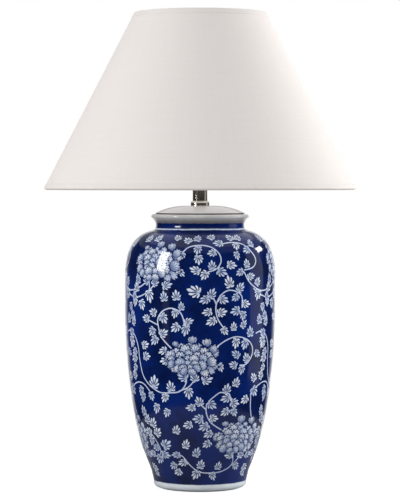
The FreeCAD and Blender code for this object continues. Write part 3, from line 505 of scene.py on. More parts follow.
jarSizes = {
    "low": 1.2, "footR": 74.4, "footRound": 7.6, "footTop": 10.5, "footRing": 13.0, "recess": 8.0,
    "skirtR": 78.4, "skirtTop": 27.2, "flankArc": 430.0, "taperLean": 9.2, "taperArc": 1000.0,
    "bellyR": 120.5, "bellyLow": 288.0, "bellyTop": 343.0, "shoulderLean": 19.3, "shoulderArc": 110.0,
    "crownLean": 74.0, "crownArc": 50.0, "neckR": 71.0, "neckTall": 9.0,
    "lipR": 78.6, "lipTall": 15.2, "lipRound": 4.2, "wall": 5.5, "floor": 7.0, "rodHole": 5.75,
    "segments": 256,
}


def bulge(radius, degrees):
    return radius * (1 - cos(radians(degrees / 2)))


def jarOutside():
    j = jarSizes
    taper, shoulder, crown = [radians(j[k]) for k in ("taperLean", "shoulderLean", "crownLean")]
    taperR = j["bellyR"] - j["taperArc"] * (1 - cos(taper))
    taperZ = j["bellyLow"] - j["taperArc"] * sin(taper)
    shoulderR = j["bellyR"] - j["shoulderArc"] * (1 - cos(shoulder))
    shoulderZ = j["bellyTop"] + j["shoulderArc"] * sin(shoulder)
    crownR = shoulderR - j["crownArc"] * (cos(shoulder) - cos(crown))
    crownZ = shoulderZ + j["crownArc"] * (sin(crown) - sin(shoulder))
    neckZ = crownZ + (crownR - j["neckR"]) / tan(crown)
    lipZ = neckZ + j["neckTall"]
    top = lipZ + j["lipTall"]
    flank = hypot(taperR - j["skirtR"], taperZ - j["skirtTop"])
    foot, lip = j["footRound"], j["lipRound"]
    return [
        (j["footR"] - foot, 0, {"rise": foot * (1 - sqrt(0.5))}),
        (j["footR"], foot),
        (j["footR"], j["footTop"], {"soft": 1.5}),
        (j["skirtR"], j["skirtTop"], {"rise": flank * flank / 8 / j["flankArc"]}),
        (taperR, taperZ, {"rise": bulge(j["taperArc"], j["taperLean"])}),
        (j["bellyR"], j["bellyLow"]),
        (j["bellyR"], j["bellyTop"], {"rise": bulge(j["shoulderArc"], j["shoulderLean"])}),
        (shoulderR, shoulderZ, {"rise": bulge(j["crownArc"], j["crownLean"] - j["shoulderLean"])}),
        (crownR, crownZ),
        (j["neckR"], neckZ, {"soft": 6.0}),
        (j["neckR"], lipZ, {"rise": -lip / 4, "soft": 1.5}),
        (j["lipR"], top - lip * 1.3, {"rise": lip / 2, "soft": 0.8}),
        (j["lipR"] - lip, top, {"soft": 0.8}),
    ]


def jarInside(outside):
    j = jarSizes
    wall, top = j["wall"], outside[-1][1]
    shoulder, crown = radians(j["shoulderLean"]), radians(j["crownLean"])
    shoulderR, shoulderZ = outside[7][:2]
    crownR, crownZ = outside[8][:2]
    floor = j["recess"] + j["floor"]
    ring = j["footR"] - j["footRound"] - j["footRing"]
    return [
        (j["neckR"] - wall, top, {"soft": 1.0}),
        (j["neckR"] - wall, outside[9][1] - wall),
        (crownR - wall * cos(crown), crownZ - wall * sin(crown)),
        (shoulderR - wall * cos(shoulder), shoulderZ - wall * sin(shoulder)),
        (j["bellyR"] - wall, j["bellyTop"]),
        (j["bellyR"] - wall, j["bellyLow"]),
        (outside[4][0] - wall, outside[4][1]),
        (j["skirtR"] - wall, j["skirtTop"]),
        (j["skirtR"] - wall, floor),
        (j["rodHole"], floor),
        (j["rodHole"], j["recess"]),
        (ring, j["recess"], {"soft": 2.0}),
        (ring, 0, {"soft": 0.8}),
    ]


outsideCorners = jarOutside()
jarOutline = outlinePoints(outsideCorners + jarInside(outsideCorners))
jarPiece = turnedPiece("jarShell", jarOutline, glaze, jarSizes["segments"], jarSizes["low"])
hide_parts("jar_body")
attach(jarPiece, "base")
print("jar turned:", len(jarPiece.data.polygons), "faces")


# The painted scroll is drawn on a flat sheet and wrapped on the jar. Places on the sheet are an angle in
# degrees and a height in millimetres on the front third.
scroll = {
    "repeats": 3, "stemWide": 2.0, "stemStep": 2.5, "stemLift": 0.05, "leafLift": 0.07, "bloomLift": 0.12,
    "layer": 0.03, "leafLong": 15.0, "bigLeaf": 18.5, "seed": 11, "sway": 28.0, "longer": (0.88, 1.12),
    "slimmer": (0.78, 1.0), "bloomReach": 24,
}

blooms = [(-39, 361, 1.04), (-10, 212, 1.0), (33, 86, 1.0)]

vines = [
    [(-14, 380), (-9, 389), (0, 392), (9, 389), (15, 379), (16, 366), (12, 355), (6, 351)],
    [(-42, 338), (-42, 320), (-56, 309), (-68, 314), (-76, 324)],
    [(-36, 331), (-42, 319)],
    [(19, 394), (28, 396), (38, 393), (45, 381), (48, 368), (44, 357), (35, 353)],
    [(35, 350), (40, 334), (49, 322), (58, 320), (70, 327), (78, 338)],
    [(33, 294), (33, 311), (29, 319), (22, 322), (16, 315), (12, 299), (13, 279), (18, 263)],
    [(9, 315), (12, 301)],
    [(-22, 231), (-30, 248), (-33, 267), (-33, 278), (-29, 289), (-22, 294), (-15, 288), (-12, 274),
     (-12, 268)],
    [(10, 230), (20, 244), (29, 249), (39, 243), (44, 230), (43, 216), (38, 205), (32, 204)],
    [(-11, 191), (-11, 177), (-16, 164), (-25, 161), (-34, 161), (-44, 171), (-51, 186), (-54, 210),
     (-55, 230), (-59, 247), (-66, 256), (-73, 253)],
    [(-4, 183), (-9, 171), (-17, 164)],
    [(46, 150), (46, 160), (52, 168), (61, 174), (69, 172), (76, 160)],
    [(50, 118), (47, 135), (46, 152)],
    [(20, 101), (9, 115), (5, 133), (7, 147), (13, 158), (17, 162), (23, 159), (27, 149), (28, 141)],
    [(35, 60), (36, 44), (25, 34), (11, 32), (-1, 34), (-10, 44), (-17, 58), (-20, 61)],
    [(44, 56), (37, 44)],
    [(-74, 96), (-57, 99), (-50, 92), (-44, 78), (-42, 67), (-44, 59)],
    [(-44, 276), (-33, 267)],
    [(-1, 146), (5, 135)],
]

leaves = [
    (-52, 402), (-40, 403), (-21, 404), (-11, 400), (-2, 403), (11, 405), (15, 395), (28, 404), (37, 404),
    (48, 395), (31, 390), (40, 384), (-15, 375), (-14, 349), (-45, 337), (-35, 335),
    (-25, 330), (3, 345), (-2, 384), (9, 380), (-1, 369), (-4, 354), (9, 362), (17, 350), (30, 375),
    (25, 361), (38, 364), (31, 349), (42, 343), (49, 335), (66, 339), (49, 313), (61, 312), (-56, 326),
    (-58, 302), (-49, 297), (-28, 313), (-18, 315), (3, 307), (9, 318), (32, 327), (27, 310), (18, 307),
    (37, 300), (27, 289), (17, 288), (34, 281), (5, 288), (8, 273), (19, 258), (26, 266), (35, 269),
    (11, 231), (16, 201), (-29.5, 226), (-28.5, 211), (-14, 187.5), (-4.5, 187),
    (6, 183), (-45, 277), (-38, 287), (-28, 277), (-19, 285), (-14, 298), (-8, 274), (-19, 263), (-11, 259),
    (-28, 255), (-39, 256), (-37, 242), (-46, 235), (-45, 217), (28, 238), (36, 236), (41, 257), (28, 222),
    (26, 205), (38, 216), (34, 196), (-60, 272), (-65, 240), (-61, 222), (-62, 196), (-43, 153), (-24, 172),
    (-30, 152), (-9, 160), (-56, 160), (51, 276), (58, 282), (55, 293), (55, 254), (56, 235), (50, 220),
    (58, 212), (47, 184), (56, 186), (30, 178), (22, 168), (7, 95), (6, 79), (30, 60),
    (46, 62), (58, 58), (-8, 138), (-1, 149), (10, 142), (21, 152), (30, 144), (21, 130), (30, 129),
    (12, 121), (-2, 120), (3, 107), (39, 148), (-39, 134), (-29, 128), (-52, 117), (-45, 112), (-21, 103),
    (-11, 110), (-13, 80), (-3, 67), (-25, 61), (-30, 42), (-19, 48), (-26, 32), (-60, 27), (1, 47),
    (-5, 29), (20, 44), (15, 26), (43, 40), (-60, 90), (-41, 97), (-52, 80), (-36, 60), (-56, 60), (-47, 51),
    (64, 130), (66, 96), (72, 70), (66, 150), (60, 36),
]

bigLeaves = [(22, 336), (-41, 311), (-5, 321), (-39, 178), (-33, 78), (50, 160)]

skin = outlinePoints(outsideCorners, closed=False)
skin = [(r, z + jarSizes["low"]) for r, z in skin]
skinRun = [0.0]
for first, second in zip(skin, skin[1:]):
    skinRun.append(skinRun[-1] + dist(first, second))


def skinAt(height):
    # the radius at a height, and how far up the outline that is
    for i in range(len(skin) - 1):
        (r0, z0), (r1, z1) = skin[i], skin[i + 1]
        if z0 <= height <= z1 and z1 > z0:
            share = (height - z0) / (z1 - z0)
            return r0 + (r1 - r0) * share, skinRun[i] + (skinRun[i + 1] - skinRun[i]) * share
    return skin[-1][0], skinRun[-1]


sheetRadius = jarSizes["bellyR"]


def onSheet(angle, height):
    # metres on the unrolled sheet: along the belly's girth, and up the outline
    return radians(angle) * sheetRadius * mm, skinAt(height)[1] * mm


def flatShape(name, motif, finish):
    # a closed flat shape, with inner rings so that it can bend; rim is 0 in the middle, 1 at the border
    half = []
    for degrees, reach in reversed(motif["reaches"]):
        x = sin(radians(degrees)) * reach * motif["narrow"]
        half.append((x if x > 1e-6 else 0.0, cos(radians(degrees)) * reach - motif["foot"]))
    border = half + [(-x, y) for x, y in reversed(half) if x > 1e-6]
    middle, rings = motif["middle"], motif["rings"]
    vertices, rims, faces = [(0, middle, 0)], [0.0], []
    for k in range(1, rings + 1):
        share = k / rings
        vertices += [(x * share, middle + (y - middle) * share, 0) for x, y in border]
        rims += [share] * len(border)
    count = len(border)
    for i in range(count):
        j = (i + 1) % count
        faces.append((0, 1 + i, 1 + j))
        for k in range(rings - 1):
            a, b = 1 + k * count, 1 + (k + 1) * count
            faces.append((a + i, b + i, b + j, a + j))
    piece = newPiece(name, vertices, faces, finish)
    layer = piece.data.uv_layers.new(name="motifUV")
    for loop in piece.data.loops:
        layer.data[loop.index].uv = vertices[loop.vertex_index][:2]
    rim = piece.data.attributes.new("rim", "FLOAT", "POINT")
    rim.data.foreach_set("value", rims)
    return piece


def geometryTree(name, inputs):
    group = bpy.data.node_groups.new(name, "GeometryNodeTree")
    group.is_modifier = True
    for label, kind in inputs.items():
        group.interface.new_socket(label, in_out="INPUT", socket_type=f"NodeSocket{kind}")
    group.interface.new_socket("Geometry", in_out="OUTPUT", socket_type="NodeSocketGeometry")
    tree = Tree(group)
    return tree, tree.add("NodeGroupInput")


def finishTree(tree, shape, given):
    # the repeats round the jar, then every point goes from the flat sheet to the jar's outline
    pitch = tau * sheetRadius * mm / scroll["repeats"]
    repeats = {"Count": given.other("Repeats"), "Offset": (pitch, 0, 0), "Start Location": (-pitch, 0, 0)}
    spots = tree.add("GeometryNodeMeshLine", repeats)
    copies = tree.add("GeometryNodeInstanceOnPoints", {"Points": spots, "Instance": shape})
    flat = tree.add("GeometryNodeRealizeInstances", {"Geometry": copies})
    along, up, lift = tree.parts(tree.add("GeometryNodeInputPosition"))
    outline = tree.add("GeometryNodeObjectInfo", {"Object": given.other("Outline")}, out="Geometry")
    outline = tree.add("GeometryNodeMeshToCurve", {"Mesh": outline})
    sockets = {"Curves": outline, "Length": up}
    sample = tree.add("GeometryNodeSampleCurve", sockets, out="Position", mode="LENGTH")
    radius, _, height = tree.parts(sample)
    outLean, _, upLean = tree.parts(sample.other("Tangent"))
    out = lift + given.other("Lift")
    radius = radius + upLean * out
    height = height - outLean * out
    angle = along / (sheetRadius * mm)
    wrapped = tree.joined(
        radius * tree.maths("SINE", angle), radius * tree.maths("COSINE", angle) * -1, height
    )
    moved = tree.add("GeometryNodeSetPosition", {"Geometry": flat, "Position": wrapped})
    painted = tree.add("GeometryNodeSetMaterial", {"Geometry": moved, "Material": given.other("Paint")})
    tree.add("NodeGroupOutput", {"Geometry": painted})
    return tree.nodeTree


commonInputs = {
    "Geometry": "Geometry", "Repeats": "Int", "Lift": "Float", "Outline": "Object", "Paint": "Material",
}


def stemTree():
    tree, given = geometryTree("wrapStems", {**commonInputs, "Wide": "Float"})
    curve = tree.add("GeometryNodeMeshToCurve", {"Mesh": given})
    curve = tree.add("GeometryNodeCurveSplineType", {"Curve": curve}, spline_type="CATMULL_ROM")
    sockets = {"Curve": curve, "Length": scroll["stemStep"] * mm}
    curve = tree.add("GeometryNodeResampleCurve", sockets, mode="LENGTH")
    curve = tree.add("GeometryNodeSetCurveNormal", {"Curve": curve}, mode="Z_UP")
    half = given.other("Wide") * 0.5
    left, right = tree.joined(half * -1), tree.joined(half)
    blade = tree.add("GeometryNodeCurvePrimitiveLine", {"Start": left, "End": right})
    side = tree.parts(tree.add("GeometryNodeInputPosition"))[0] / half
    blade = tree.add("GeometryNodeResampleCurve", {"Curve": blade, "Count": 3}, mode="COUNT")
    sockets = {"Geometry": blade, "Name": "across", "Value": side}
    blade = tree.add("GeometryNodeStoreNamedAttribute", sockets, data_type="FLOAT", domain="POINT")
    ribbon = tree.add("GeometryNodeCurveToMesh", {"Curve": curve, "Profile Curve": blade})
    return finishTree(tree, ribbon, given)


def motifTree():
    # each point of the plan carries its turn, width, length, layer, and how far the wrap would narrow it
    tree, given = geometryTree("wrapMotifs", {**commonInputs, "Shape": "Object", "Layer": "Float"})

    def named(label):
        return tree.add("GeometryNodeInputNamedAttribute", {"Name": label}, data_type="FLOAT")

    shape = tree.add("GeometryNodeObjectInfo", {"Object": given.other("Shape")}, out="Geometry")
    turn = tree.joined(z=named("turn"))
    size = tree.joined(named("wide"), named("long"), 1.0)
    placed = tree.add("GeometryNodeInstanceOnPoints", {
        "Points": given, "Instance": shape, "Scale": size,
        "Rotation": tree.add("FunctionNodeEulerToRotation", {"Euler": turn}),
    })
    flat = tree.add("GeometryNodeRealizeInstances", {"Geometry": placed})
    x, y, _ = tree.parts(tree.add("GeometryNodeInputPosition"))
    centre = named("centre")
    x = centre + (x - centre) * named("spread")
    spread = tree.joined(x, y, named("order") * given.other("Layer"))
    flat = tree.add("GeometryNodeSetPosition", {"Geometry": flat, "Position": spread})
    return finishTree(tree, flat, given)


def outlineObject():
    mesh = bpy.data.meshes.new("jarOutline")
    points = [(r * mm, 0, z * mm) for r, z in skin]
    mesh.from_pydata(points, [(i, i + 1) for i in range(len(points) - 1)], [])
    return linked("jarOutline", mesh)


def wrapPlan(name, mesh, group, values):
    # runs the tree on a plan mesh and keeps the result as a plain mesh whose normals are the jar's own
    plan = linked(name + "Plan", mesh)
    modifier = plan.modifiers.new("wrap", "NODES")
    modifier.node_group = group
    for item in group.interface.items_tree:
        if item.in_out == "INPUT" and item.name in values:
            modifier[item.identifier] = values[item.name]
    graph = bpy.context.evaluated_depsgraph_get()
    graph.update()
    result = bpy.data.meshes.new_from_object(
        plan.evaluated_get(graph), preserve_all_data_layers=True, depsgraph=graph
    )
    piece = linked(name, result)
    bpy.data.objects.remove(plan)
    outward = [jarNormal(vertex.co) for vertex in result.vertices]
    first = result.polygons[0]
    if first.normal.dot(outward[first.vertices[0]]) < 0:
        result.flip_normals()
    result.shade_smooth()
    result.normals_split_custom_set_from_vertices(outward)
    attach(piece, "base")
    print(name, len(result.polygons), "faces")
    return piece


def jarNormal(point):
    radius = hypot(point.x, point.y)
    height = point.z / mm
    low, high = 0, len(skin) - 1
    while high - low > 1:
        middle = (low + high) // 2
        if skin[middle][1] <= height:
            low = middle
        else:
            high = middle
    (r0, z0), (r1, z1) = skin[max(0, low - 1)], skin[min(len(skin) - 1, high + 1)]
    run = hypot(r1 - r0, z1 - z0)
    out, up = (z1 - z0) / run, (r0 - r1) / run
    return Vector((point.x / radius * out, point.y / radius * out, up))


def motifAt(x, y, height, turn, wide, long, order, rng, centre=None):
    return {
        "x": x, "y": y, "turn": turn, "wide": wide, "long": long, "centre": x if centre is None else centre,
        "spread": sheetRadius / skinAt(height)[0], "order": order, "tone": rng.random(),
    }


def planMesh(name, motifs):
    # motifs carry x, y and the attributes of motifTree
    mesh = bpy.data.meshes.new(name)
    mesh.from_pydata([(motif["x"], motif["y"], 0) for motif in motifs], [], [])
    for label in ("turn", "wide", "long", "centre", "spread", "order", "tone"):
        attribute = mesh.attributes.new(label, "FLOAT", "POINT")
        attribute.data.foreach_set("value", [motif[label] for motif in motifs])
    return mesh


def stemPlan():
    vertices, edges = [], []
    for vine in vines:
        start = len(vertices)
        vertices += [(*onSheet(angle, height), 0) for angle, height in vine]
        edges += [(i, i + 1) for i in range(start, len(vertices) - 1)]
    mesh = bpy.data.meshes.new("stemPlan")
    mesh.from_pydata(vertices, edges, [])
    return mesh


def leafPlan(rng):
    # a leaf grows away from the nearest stem or peony, with some sway
    anchors = []
    third = tau * sheetRadius * mm / scroll["repeats"]
    for shift in (-third, 0, third):
        for vine in vines:
            for (a0, h0), (a1, h1) in zip(vine, vine[1:]):
                for share in (0, 0.25, 0.5, 0.75):
                    x, y = onSheet(a0 + (a1 - a0) * share, h0 + (h1 - h0) * share)
                    anchors.append((x + shift, y))
        for angle, height, _ in blooms:
            x, y = onSheet(angle, height)
            anchors += [(x + shift + side * scroll["bloomReach"] * mm, y) for side in (-1, 0, 1)]
    motifs = []
    for size, group in ((scroll["leafLong"], leaves), (scroll["bigLeaf"], bigLeaves)):
        for angle, height in group:
            x, y = onSheet(angle, height)
            near = min(anchors, key=lambda a: dist(a, (x, y)))
            grow = atan2(y - near[1], x - near[0]) - pi / 2
            length = size * mm * rng.uniform(*scroll["longer"])
            turn = grow + radians(rng.uniform(-1, 1) * scroll["sway"])
            wide = length * rng.uniform(*scroll["slimmer"])
            motifs.append(motifAt(x, y, height, turn, wide, length, rng.random(), rng))
    return planMesh("leafPlan", motifs)


# a peony is drawn from the side: rows of upright petals, the upper rows behind, fanned to left and right
peony = {
    "rows": [
        # height of the row's middle, its ends, petals, fan at the ends in degrees, petal width and length
        (18.5, -17.0, 27.0, 4, 35, 19.0, 16.0),
        (11.0, -27.0, 33.0, 5, 55, 19.0, 16.0),
        (4.0, -26.0, 39.0, 6, 62, 18.5, 15.5),
        (-3.0, -25.0, 25.0, 5, 65, 18.0, 15.0),
        (-9.0, -18.0, 17.0, 4, 50, 17.5, 14.0),
        (-14.0, -5.0, 8.0, 2, 30, 17.5, 12.5),
    ],
    "back": [
        # petals behind the rows: place, turn, width and length
        (41, -8, -100, 17, 22), (37, -15, -118, 16, 22), (28, -18, -138, 15, 19), (-27, -8, 118, 15, 15),
        (-21, -13, 138, 15, 15), (-13, -16, 158, 16, 13), (44, 12, -75, 17, 16), (42, 19, -40, 15, 15),
        (-32, 5, 82, 16, 14), (4, 23, 5, 17, 14), (-8, 23, 12, 15, 13), (18, 23, -10, 15, 13),
    ],
    # buds that stand above: place, turn and length; then their petals, in shares of that length
    "buds": [(8.8, 34.0, -4, 15), (31, 30.2, 14, 15), (-18, 27, 22, 11)],
    "budPetals": [(-0.17, -0.06, 34, 0.72, 0.92), (0.17, -0.06, -34, 0.72, 0.92), (0, -0.02, 0, 0.66, 1)],
    # how far chance moves, turns and swells a petal, and how much a row sags at its ends
    "stray": 2, "lean": 26, "swell": (0.86, 1.2), "shake": (0.94, 1.06), "sag": 14,
}


def bloomPlan(rng):
    motifs = []
    for angle, height, scale in blooms:
        x, y = onSheet(angle, height)

        def place(dx, dy, turn, wide, long, order):
            shake = rng.uniform(*peony["shake"]) * scale * mm
            across, along = x + dx * scale * mm, y + dy * scale * mm
            turn = radians(turn)
            motifs.append(motifAt(across, along, height, turn, wide * shake, long * shake, order, rng, x))

        for dx, dy, turn, long in peony["buds"]:
            for order, (across, up, lean, wide, tall) in enumerate(peony["budPetals"]):
                place(dx + long * across, dy + long * up, turn + lean, long * wide, long * tall, order)
        for i, backPetal in enumerate(peony["back"]):
            place(*backPetal, i % 3)
        stray, lean = peony["stray"], peony["lean"]
        for row, (dy, left, right, count, fan, wide, long) in enumerate(peony["rows"]):
            for i in range(count):
                share = i / (count - 1)
                dx = left + (right - left) * share + rng.uniform(-stray, stray)
                turn = fan * (1 - 2 * share) + rng.uniform(-lean, lean)
                swell = rng.uniform(*peony["swell"])
                up = dy - (share - 0.5) ** 2 * peony["sag"] + rng.uniform(-stray, stray)
                place(dx, up, turn, wide * swell, long * swell, 3 + row * 2 + i % 2)
    return planMesh("bloomPlan", motifs)


def paintScroll():
    rng = random.Random(scroll["seed"])
    outline = outlineObject()
    leafShape = flatShape("leafShape", leaf, leafPaint)
    petalShape = flatShape("petalShape", petal, petalPaint)
    common = {"Repeats": scroll["repeats"], "Outline": outline}
    motifs = motifTree()
    wrapPlan("paintedStems", stemPlan(), stemTree(), {
        **common, "Lift": scroll["stemLift"] * mm, "Paint": stemPaint, "Wide": scroll["stemWide"] * mm,
    })
    plans = {
        "paintedLeaves": (leafPlan(rng), leafShape, leafPaint, "leafLift"),
        "paintedPeonies": (bloomPlan(rng), petalShape, petalPaint, "bloomLift"),
    }
    for name, (plan, shape, paint, lift) in plans.items():
        wrapPlan(name, plan, motifs, {
            **common, "Lift": scroll[lift] * mm, "Paint": paint, "Shape": shape,
            "Layer": scroll["layer"] * mm,
        })
    for helper in (outline, leafShape, petalShape):
        bpy.data.objects.remove(helper)


paintScroll()


lidSizes = {
    "rod": 5.15, "flatR": 24.0, "edgeR": 72.4, "edge": 1.3, "rise": 12.4, "dome": 105.0, "thick": 5.0,
    "skirtOut": 64.3, "skirtIn": 60.3, "skirtDeep": 11.0, "segments": 224,
}


def makeLid():
    s = lidSizes
    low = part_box("lid")[0].z / mm + s["skirtDeep"]
    reach = s["edgeR"] - s["flatR"]
    drop = s["dome"] - sqrt(s["dome"] ** 2 - reach ** 2)
    rise = (reach * reach + drop * drop) / 8 / s["dome"]
    roof = s["rise"] - s["thick"]
    corners = [
        (s["rod"], roof), (s["flatR"], roof), (s["skirtIn"], -s["edge"]), (s["skirtIn"], -s["skirtDeep"]),
        (s["skirtOut"], -s["skirtDeep"], {"soft": 0.5}), (s["skirtOut"], 0), (s["edgeR"], 0, {"soft": 0.5}),
        (s["edgeR"], s["edge"], {"soft": 0.6}), (s["edgeR"], s["rise"] - drop, {"rise": rise, "soft": 1.0}),
        (s["flatR"], s["rise"], {"soft": 2.0}), (s["rod"], s["rise"]),
    ]
    lid = turnedPiece("lidDome", outlinePoints(corners), lidWhite, s["segments"], low)
    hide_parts("lid")
    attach(lid, "base")


feltSizes = {"wide": 9.0, "segments": 320, "fray": ((37, 0, 0.12), (83, 1, 0.08)), "trimmed": 0.2}


def makeFelt():
    s = feltSizes
    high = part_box("foot_felt")[1]
    outer, thick = high.x / mm, high.z / mm
    inner = outer - s["wide"]
    corners = [
        (inner, 0, {"soft": 0.3}), (outer, 0, {"soft": 0.3}), (outer, thick, {"soft": 0.5}),
        (inner, thick, {"soft": 0.5}),
    ]

    def fray(angle, radius, height):
        side = 1 if radius > (inner + outer) / 2 else -1
        shake = sum(sin(angle * waves + shift) * deep for waves, shift, deep in s["fray"])
        return radius + side * (shake - s["trimmed"]), height

    ring = turnedPiece("feltRing", outlinePoints(corners), felt, s["segments"], wave=fray)
    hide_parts("foot_felt")
    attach(ring, "base")


neckSizes = {"rod": 5.15, "step": 4.8, "spigot": 0.9, "plug": 3.0, "wall": 1.8, "end": 2.0, "segments": 128}


def makeNeck():
    s = neckSizes
    collarBox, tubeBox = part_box("neck_collar"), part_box("neck_tube")
    foot, top = collarBox[0].z / mm, collarBox[1].z / mm
    wide, slim = collarBox[1].x / mm, tubeBox[1].x / mm
    low, high = tubeBox[0].z / mm, tubeBox[1].z / mm
    rod, spigot, inner = s["rod"], slim - s["spigot"], slim - s["wall"]
    collarCorners = [
        (rod, foot), (wide, foot, {"soft": 0.4}),
        (wide, foot + s["step"], {"rise": (wide - slim) / 6, "soft": 0.7}),
        (slim, top, {"soft": 0.3}), (spigot, top), (spigot, top - s["plug"]), (rod, top - s["plug"]),
    ]
    tubeCorners = [
        (inner, low), (spigot, low), (spigot, top), (slim, top, {"soft": 0.3}), (slim, high, {"soft": 0.6}),
        (rod, high), (rod, high - s["end"]), (inner, high - s["end"]),
    ]
    collar = turnedPiece("neckCollar", outlinePoints(collarCorners), nickelBright, s["segments"])
    tube = turnedPiece("neckTube", outlinePoints(tubeCorners), nickel, s["segments"])
    for piece, node in ((collar, "neck_collar"), (tube, "neck_tube")):
        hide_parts(node)
        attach(piece, "base")


makeLid()
makeFelt()
makeNeck()
print("lid, felt and neck made")


shadeSizes = {
    "thick": 1.0, "wire": 1.8, "gap": 0.2, "hem": 9.0, "hemThick": 0.5, "turnIn": 6.3, "segments": 288,
}


def shadeFrame():
    # the top and bottom edges of the cover's outer face, from the wire rings, and the way down and out
    wire, gap = shadeSizes["wire"], shadeSizes["gap"]

    def ringPlace(node):
        low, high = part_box(node)
        return Vector((high.x / mm - wire, (low.z + high.z) / 2 / mm))

    topRing, bottomRing = ringPlace("shade_top_ring"), ringPlace("shade_bottom_ring")
    way = (bottomRing - topRing).normalized()
    out = Vector((-way.y, way.x))
    reach = shadeSizes["thick"] + gap + wire
    return topRing + out * reach - way * (wire + gap), bottomRing + out * reach + way * (wire + gap), way, out


def makeShade():
    s = shadeSizes
    topEdge, bottomEdge, way, out = shadeFrame()

    def spot(edge, along, outward):
        base = topEdge + way * along if edge == "top" else bottomEdge - way * along
        return tuple(base + out * outward)

    def side(start, end, outward, pieces):
        a, b = Vector(spot("top", 0, outward)), Vector(spot("bottom", 0, outward))
        return [tuple(a + (b - a) * (start + (end - start) * i / pieces)) for i in range(pieces + 1)]

    coverOutline = side(0, 1, -s["thick"], 40) + side(1, 0, 0, 40)
    cover = turnedPiece("shadeCover", coverOutline, linen, s["segments"])
    cover.data.materials.append(lining)
    for face in cover.data.polygons:
        if face.normal.x * face.center.x + face.normal.y * face.center.y < 0:
            face.material_index = 1
    channel = s["thick"] + s["gap"] * 2 + s["wire"] * 2
    thick, inside = s["hemThick"], -channel - s["hemThick"]
    # along the cover, out from it, and how far the corner is rounded
    flat = [
        (s["hem"], 0, 0), (s["hem"], thick, 0.2), (-thick, thick, 1.6), (-thick, inside, 1.6),
        (s["turnIn"], inside, 0.2), (s["turnIn"], -channel, 0), (0, -channel, 0), (0, 0, 0),
    ]
    for label, edge, node in (
        ("shadeTopHem", "top", "shade_top_hem"), ("shadeBottomHem", "bottom", "shade_bottom_hem"),
    ):
        corners = [(*spot(edge, *place), {"soft": soft} if soft else {}) for *place, soft in flat]
        if edge == "bottom":
            corners = corners[::-1]
        hem = turnedPiece(label, outlinePoints(corners), trimCloth, s["segments"], smoothTo=50)
        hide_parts(node)
        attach(hem, "shade")
    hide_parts("shade_cover")
    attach(cover, "shade")
    slant = (bottomEdge - topEdge).length * mm


makeShade()


# the rest keeps its CAD shape and takes a finish
plainNodes = [
    (rubber, ["lid_gasket"]),
    (bushPlastic, ["cord_grommet"]),
    (zinc, ["base_washer", "base_nut", "lamp_rod", "saddle_nut", "set_screw"]),
    (nickelBright, ["harp_saddle", "harp_bow", "harp_stud", "sleeve_left", "sleeve_right", "holder_cap"]),
    (nickelBright, ["holder_shell", "spider_bush", "finial_foot", "finial_knob"]),
    (card, ["holder_liner"]),
    (corePlastic, ["holder_core", "key_knob", "bulb_insulator"]),
    (brass, ["screw_shell", "centre_tongue", "terminal_screws", "key_shaft"]),
    (capMetal, ["bulb_contact", "bulb_cap"]),
    (bulbWhite, ["bulb_collar"]),
    (boardWhite, ["light_board"]),
    (opal, ["bulb_globe"]),
    (enamel, ["shade_top_ring", "shade_bottom_ring", "shade_spider"]),
]
for finish, names in plainNodes:
    for name in names:
        nodes[name].data.materials.clear()
        nodes[name].data.materials.append(finish)
print("finishes given to", sum(len(names) for finish, names in plainNodes), "nodes")


studio = {
    "floorColour": (0.34, 0.34, 0.345), "floorGlow": 0.80, "floorGloss": 0.05, "floorReach": 0.45,
    "floorSides": 96, "ambient": 0.70, "frontGloss": 0.03, "aim": 0.42,
}

# azimuth from the front to the right, elevation, distance, size in metres, radiance, and which rays see it
lights = {
    "keyGlint": (-60, 22, 1.7, (0.43, 1.2), 22, "glossy"),
    "keyFill": (-60, 20, 2.2, (1.2, 1.2), 3.7, "diffuse"),
    "leftGlow": (-52, 3, 1.9, (0.35, 1.2), 0.35, "glossy"),
    "rightGlint": (118, 24, 1.7, (0.5, 0.42), 17, "glossy"),
    "rightGlow": (95, 8, 1.9, (1.0, 2.0), 0.7, "glossy"),
    "rightFill": (100, 15, 2.2, (1.2, 1.4), 6.2, "diffuse"),
}
underShade = {"height": 0.505, "size": (0.38, 0.38), "level": 0.55}


def makeFloor():
    mesh = bpy.data.meshes.new("floor")
    reach, around = studio["floorReach"], studio["floorSides"]
    angles = [tau * i / around for i in range(around)]
    border = [(reach * cos(angle), reach * sin(angle), 0) for angle in angles]
    mesh.from_pydata(border, [], [list(range(around))])
    floor = linked("floor", mesh)
    colour = (*studio["floorColour"], 1)
    paint = Paint("studioFloor", Base_Color=colour, Roughness=0.9, Specular_IOR_Level=0.1)
    ray, gloss = paint.rays()
    share = ray.largest(gloss * studio["floorGloss"])
    paint.set("Emission Color", paint.mix(share, (0, 0, 0), (1, 1, 1)))
    paint.set("Emission Strength", studio["floorGlow"])
    mesh.materials.append(paint.material)


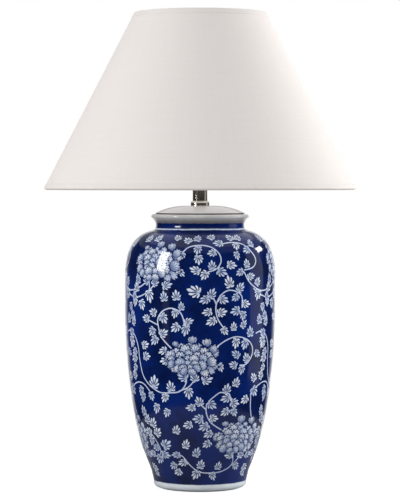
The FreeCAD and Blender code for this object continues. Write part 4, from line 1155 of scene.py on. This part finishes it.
def makeWorld():
    world = bpy.data.worlds.new("studio")
    scene.world = world
    world.use_nodes = True
    tree = Tree(world.node_tree)
    background = world.node_tree.nodes["Background"]
    ray, gloss = tree.rays()
    y = tree.parts(tree.add("ShaderNodeTexCoord", out="Generated"))[1]
    behind = y.step(0.78, 0.97) * (1 - studio["frontGloss"]) + studio["frontGloss"]
    level = ray + (1 - ray) * (gloss * behind + (1 - gloss) * studio["ambient"])
    tree.feed(background.inputs["Strength"], level)
    background.inputs["Color"].default_value = (1, 1, 1, 1)


def areaLight(name, shape, size, level, seen):
    lamp = bpy.data.lights.new(name, "AREA")
    lamp.shape = shape
    lamp.size, lamp.size_y = size
    area = lamp.size * lamp.size_y * (pi / 4 if shape == "ELLIPSE" else 1)
    lamp.energy = level * pi * area
    light = linked(name, lamp)
    light.visible_camera = False
    light.visible_diffuse = "diffuse" in seen
    light.visible_glossy = "glossy" in seen
    return light


def aimedLight(name, azimuth, elevation, distance, size, level, seen):
    # shines at the jar's shoulder
    light = areaLight(name, "RECTANGLE", size, level, seen)
    azimuth, elevation = radians(azimuth), radians(elevation)
    flat = cos(elevation)
    way = Vector((sin(azimuth) * flat, -cos(azimuth) * flat, sin(elevation)))
    light.location = Vector((0, 0, studio["aim"])) + way * distance
    light.rotation_euler = way.to_track_quat("Z", "Y").to_euler()


shot = {"lens": 158.4, "sensor": 36.0, "distance": 3.535, "height": 0.4906, "aim": 0.3813, "farthest": 60}


def makeCamera():
    data = bpy.data.cameras.new("camera")
    data.lens, data.sensor_width = shot["lens"], shot["sensor"]
    camera = linked("camera", data)
    camera.location = (0, -shot["distance"], shot["height"])
    look = Vector((0, 0, shot["aim"])) - camera.location
    camera.rotation_euler = look.to_track_quat("-Z", "Y").to_euler()
    data.clip_end = shot["farthest"]
    scene.camera = camera


makeFloor()
makeWorld()
for name, settings in lights.items():
    aimedLight(name, *settings)
glow = areaLight("underShade", "ELLIPSE", underShade["size"], underShade["level"], "diffuse glossy")
glow.location = (0, 0, underShade["height"])
makeCamera()
scene.view_settings.view_transform = "Standard"
print("studio ready")
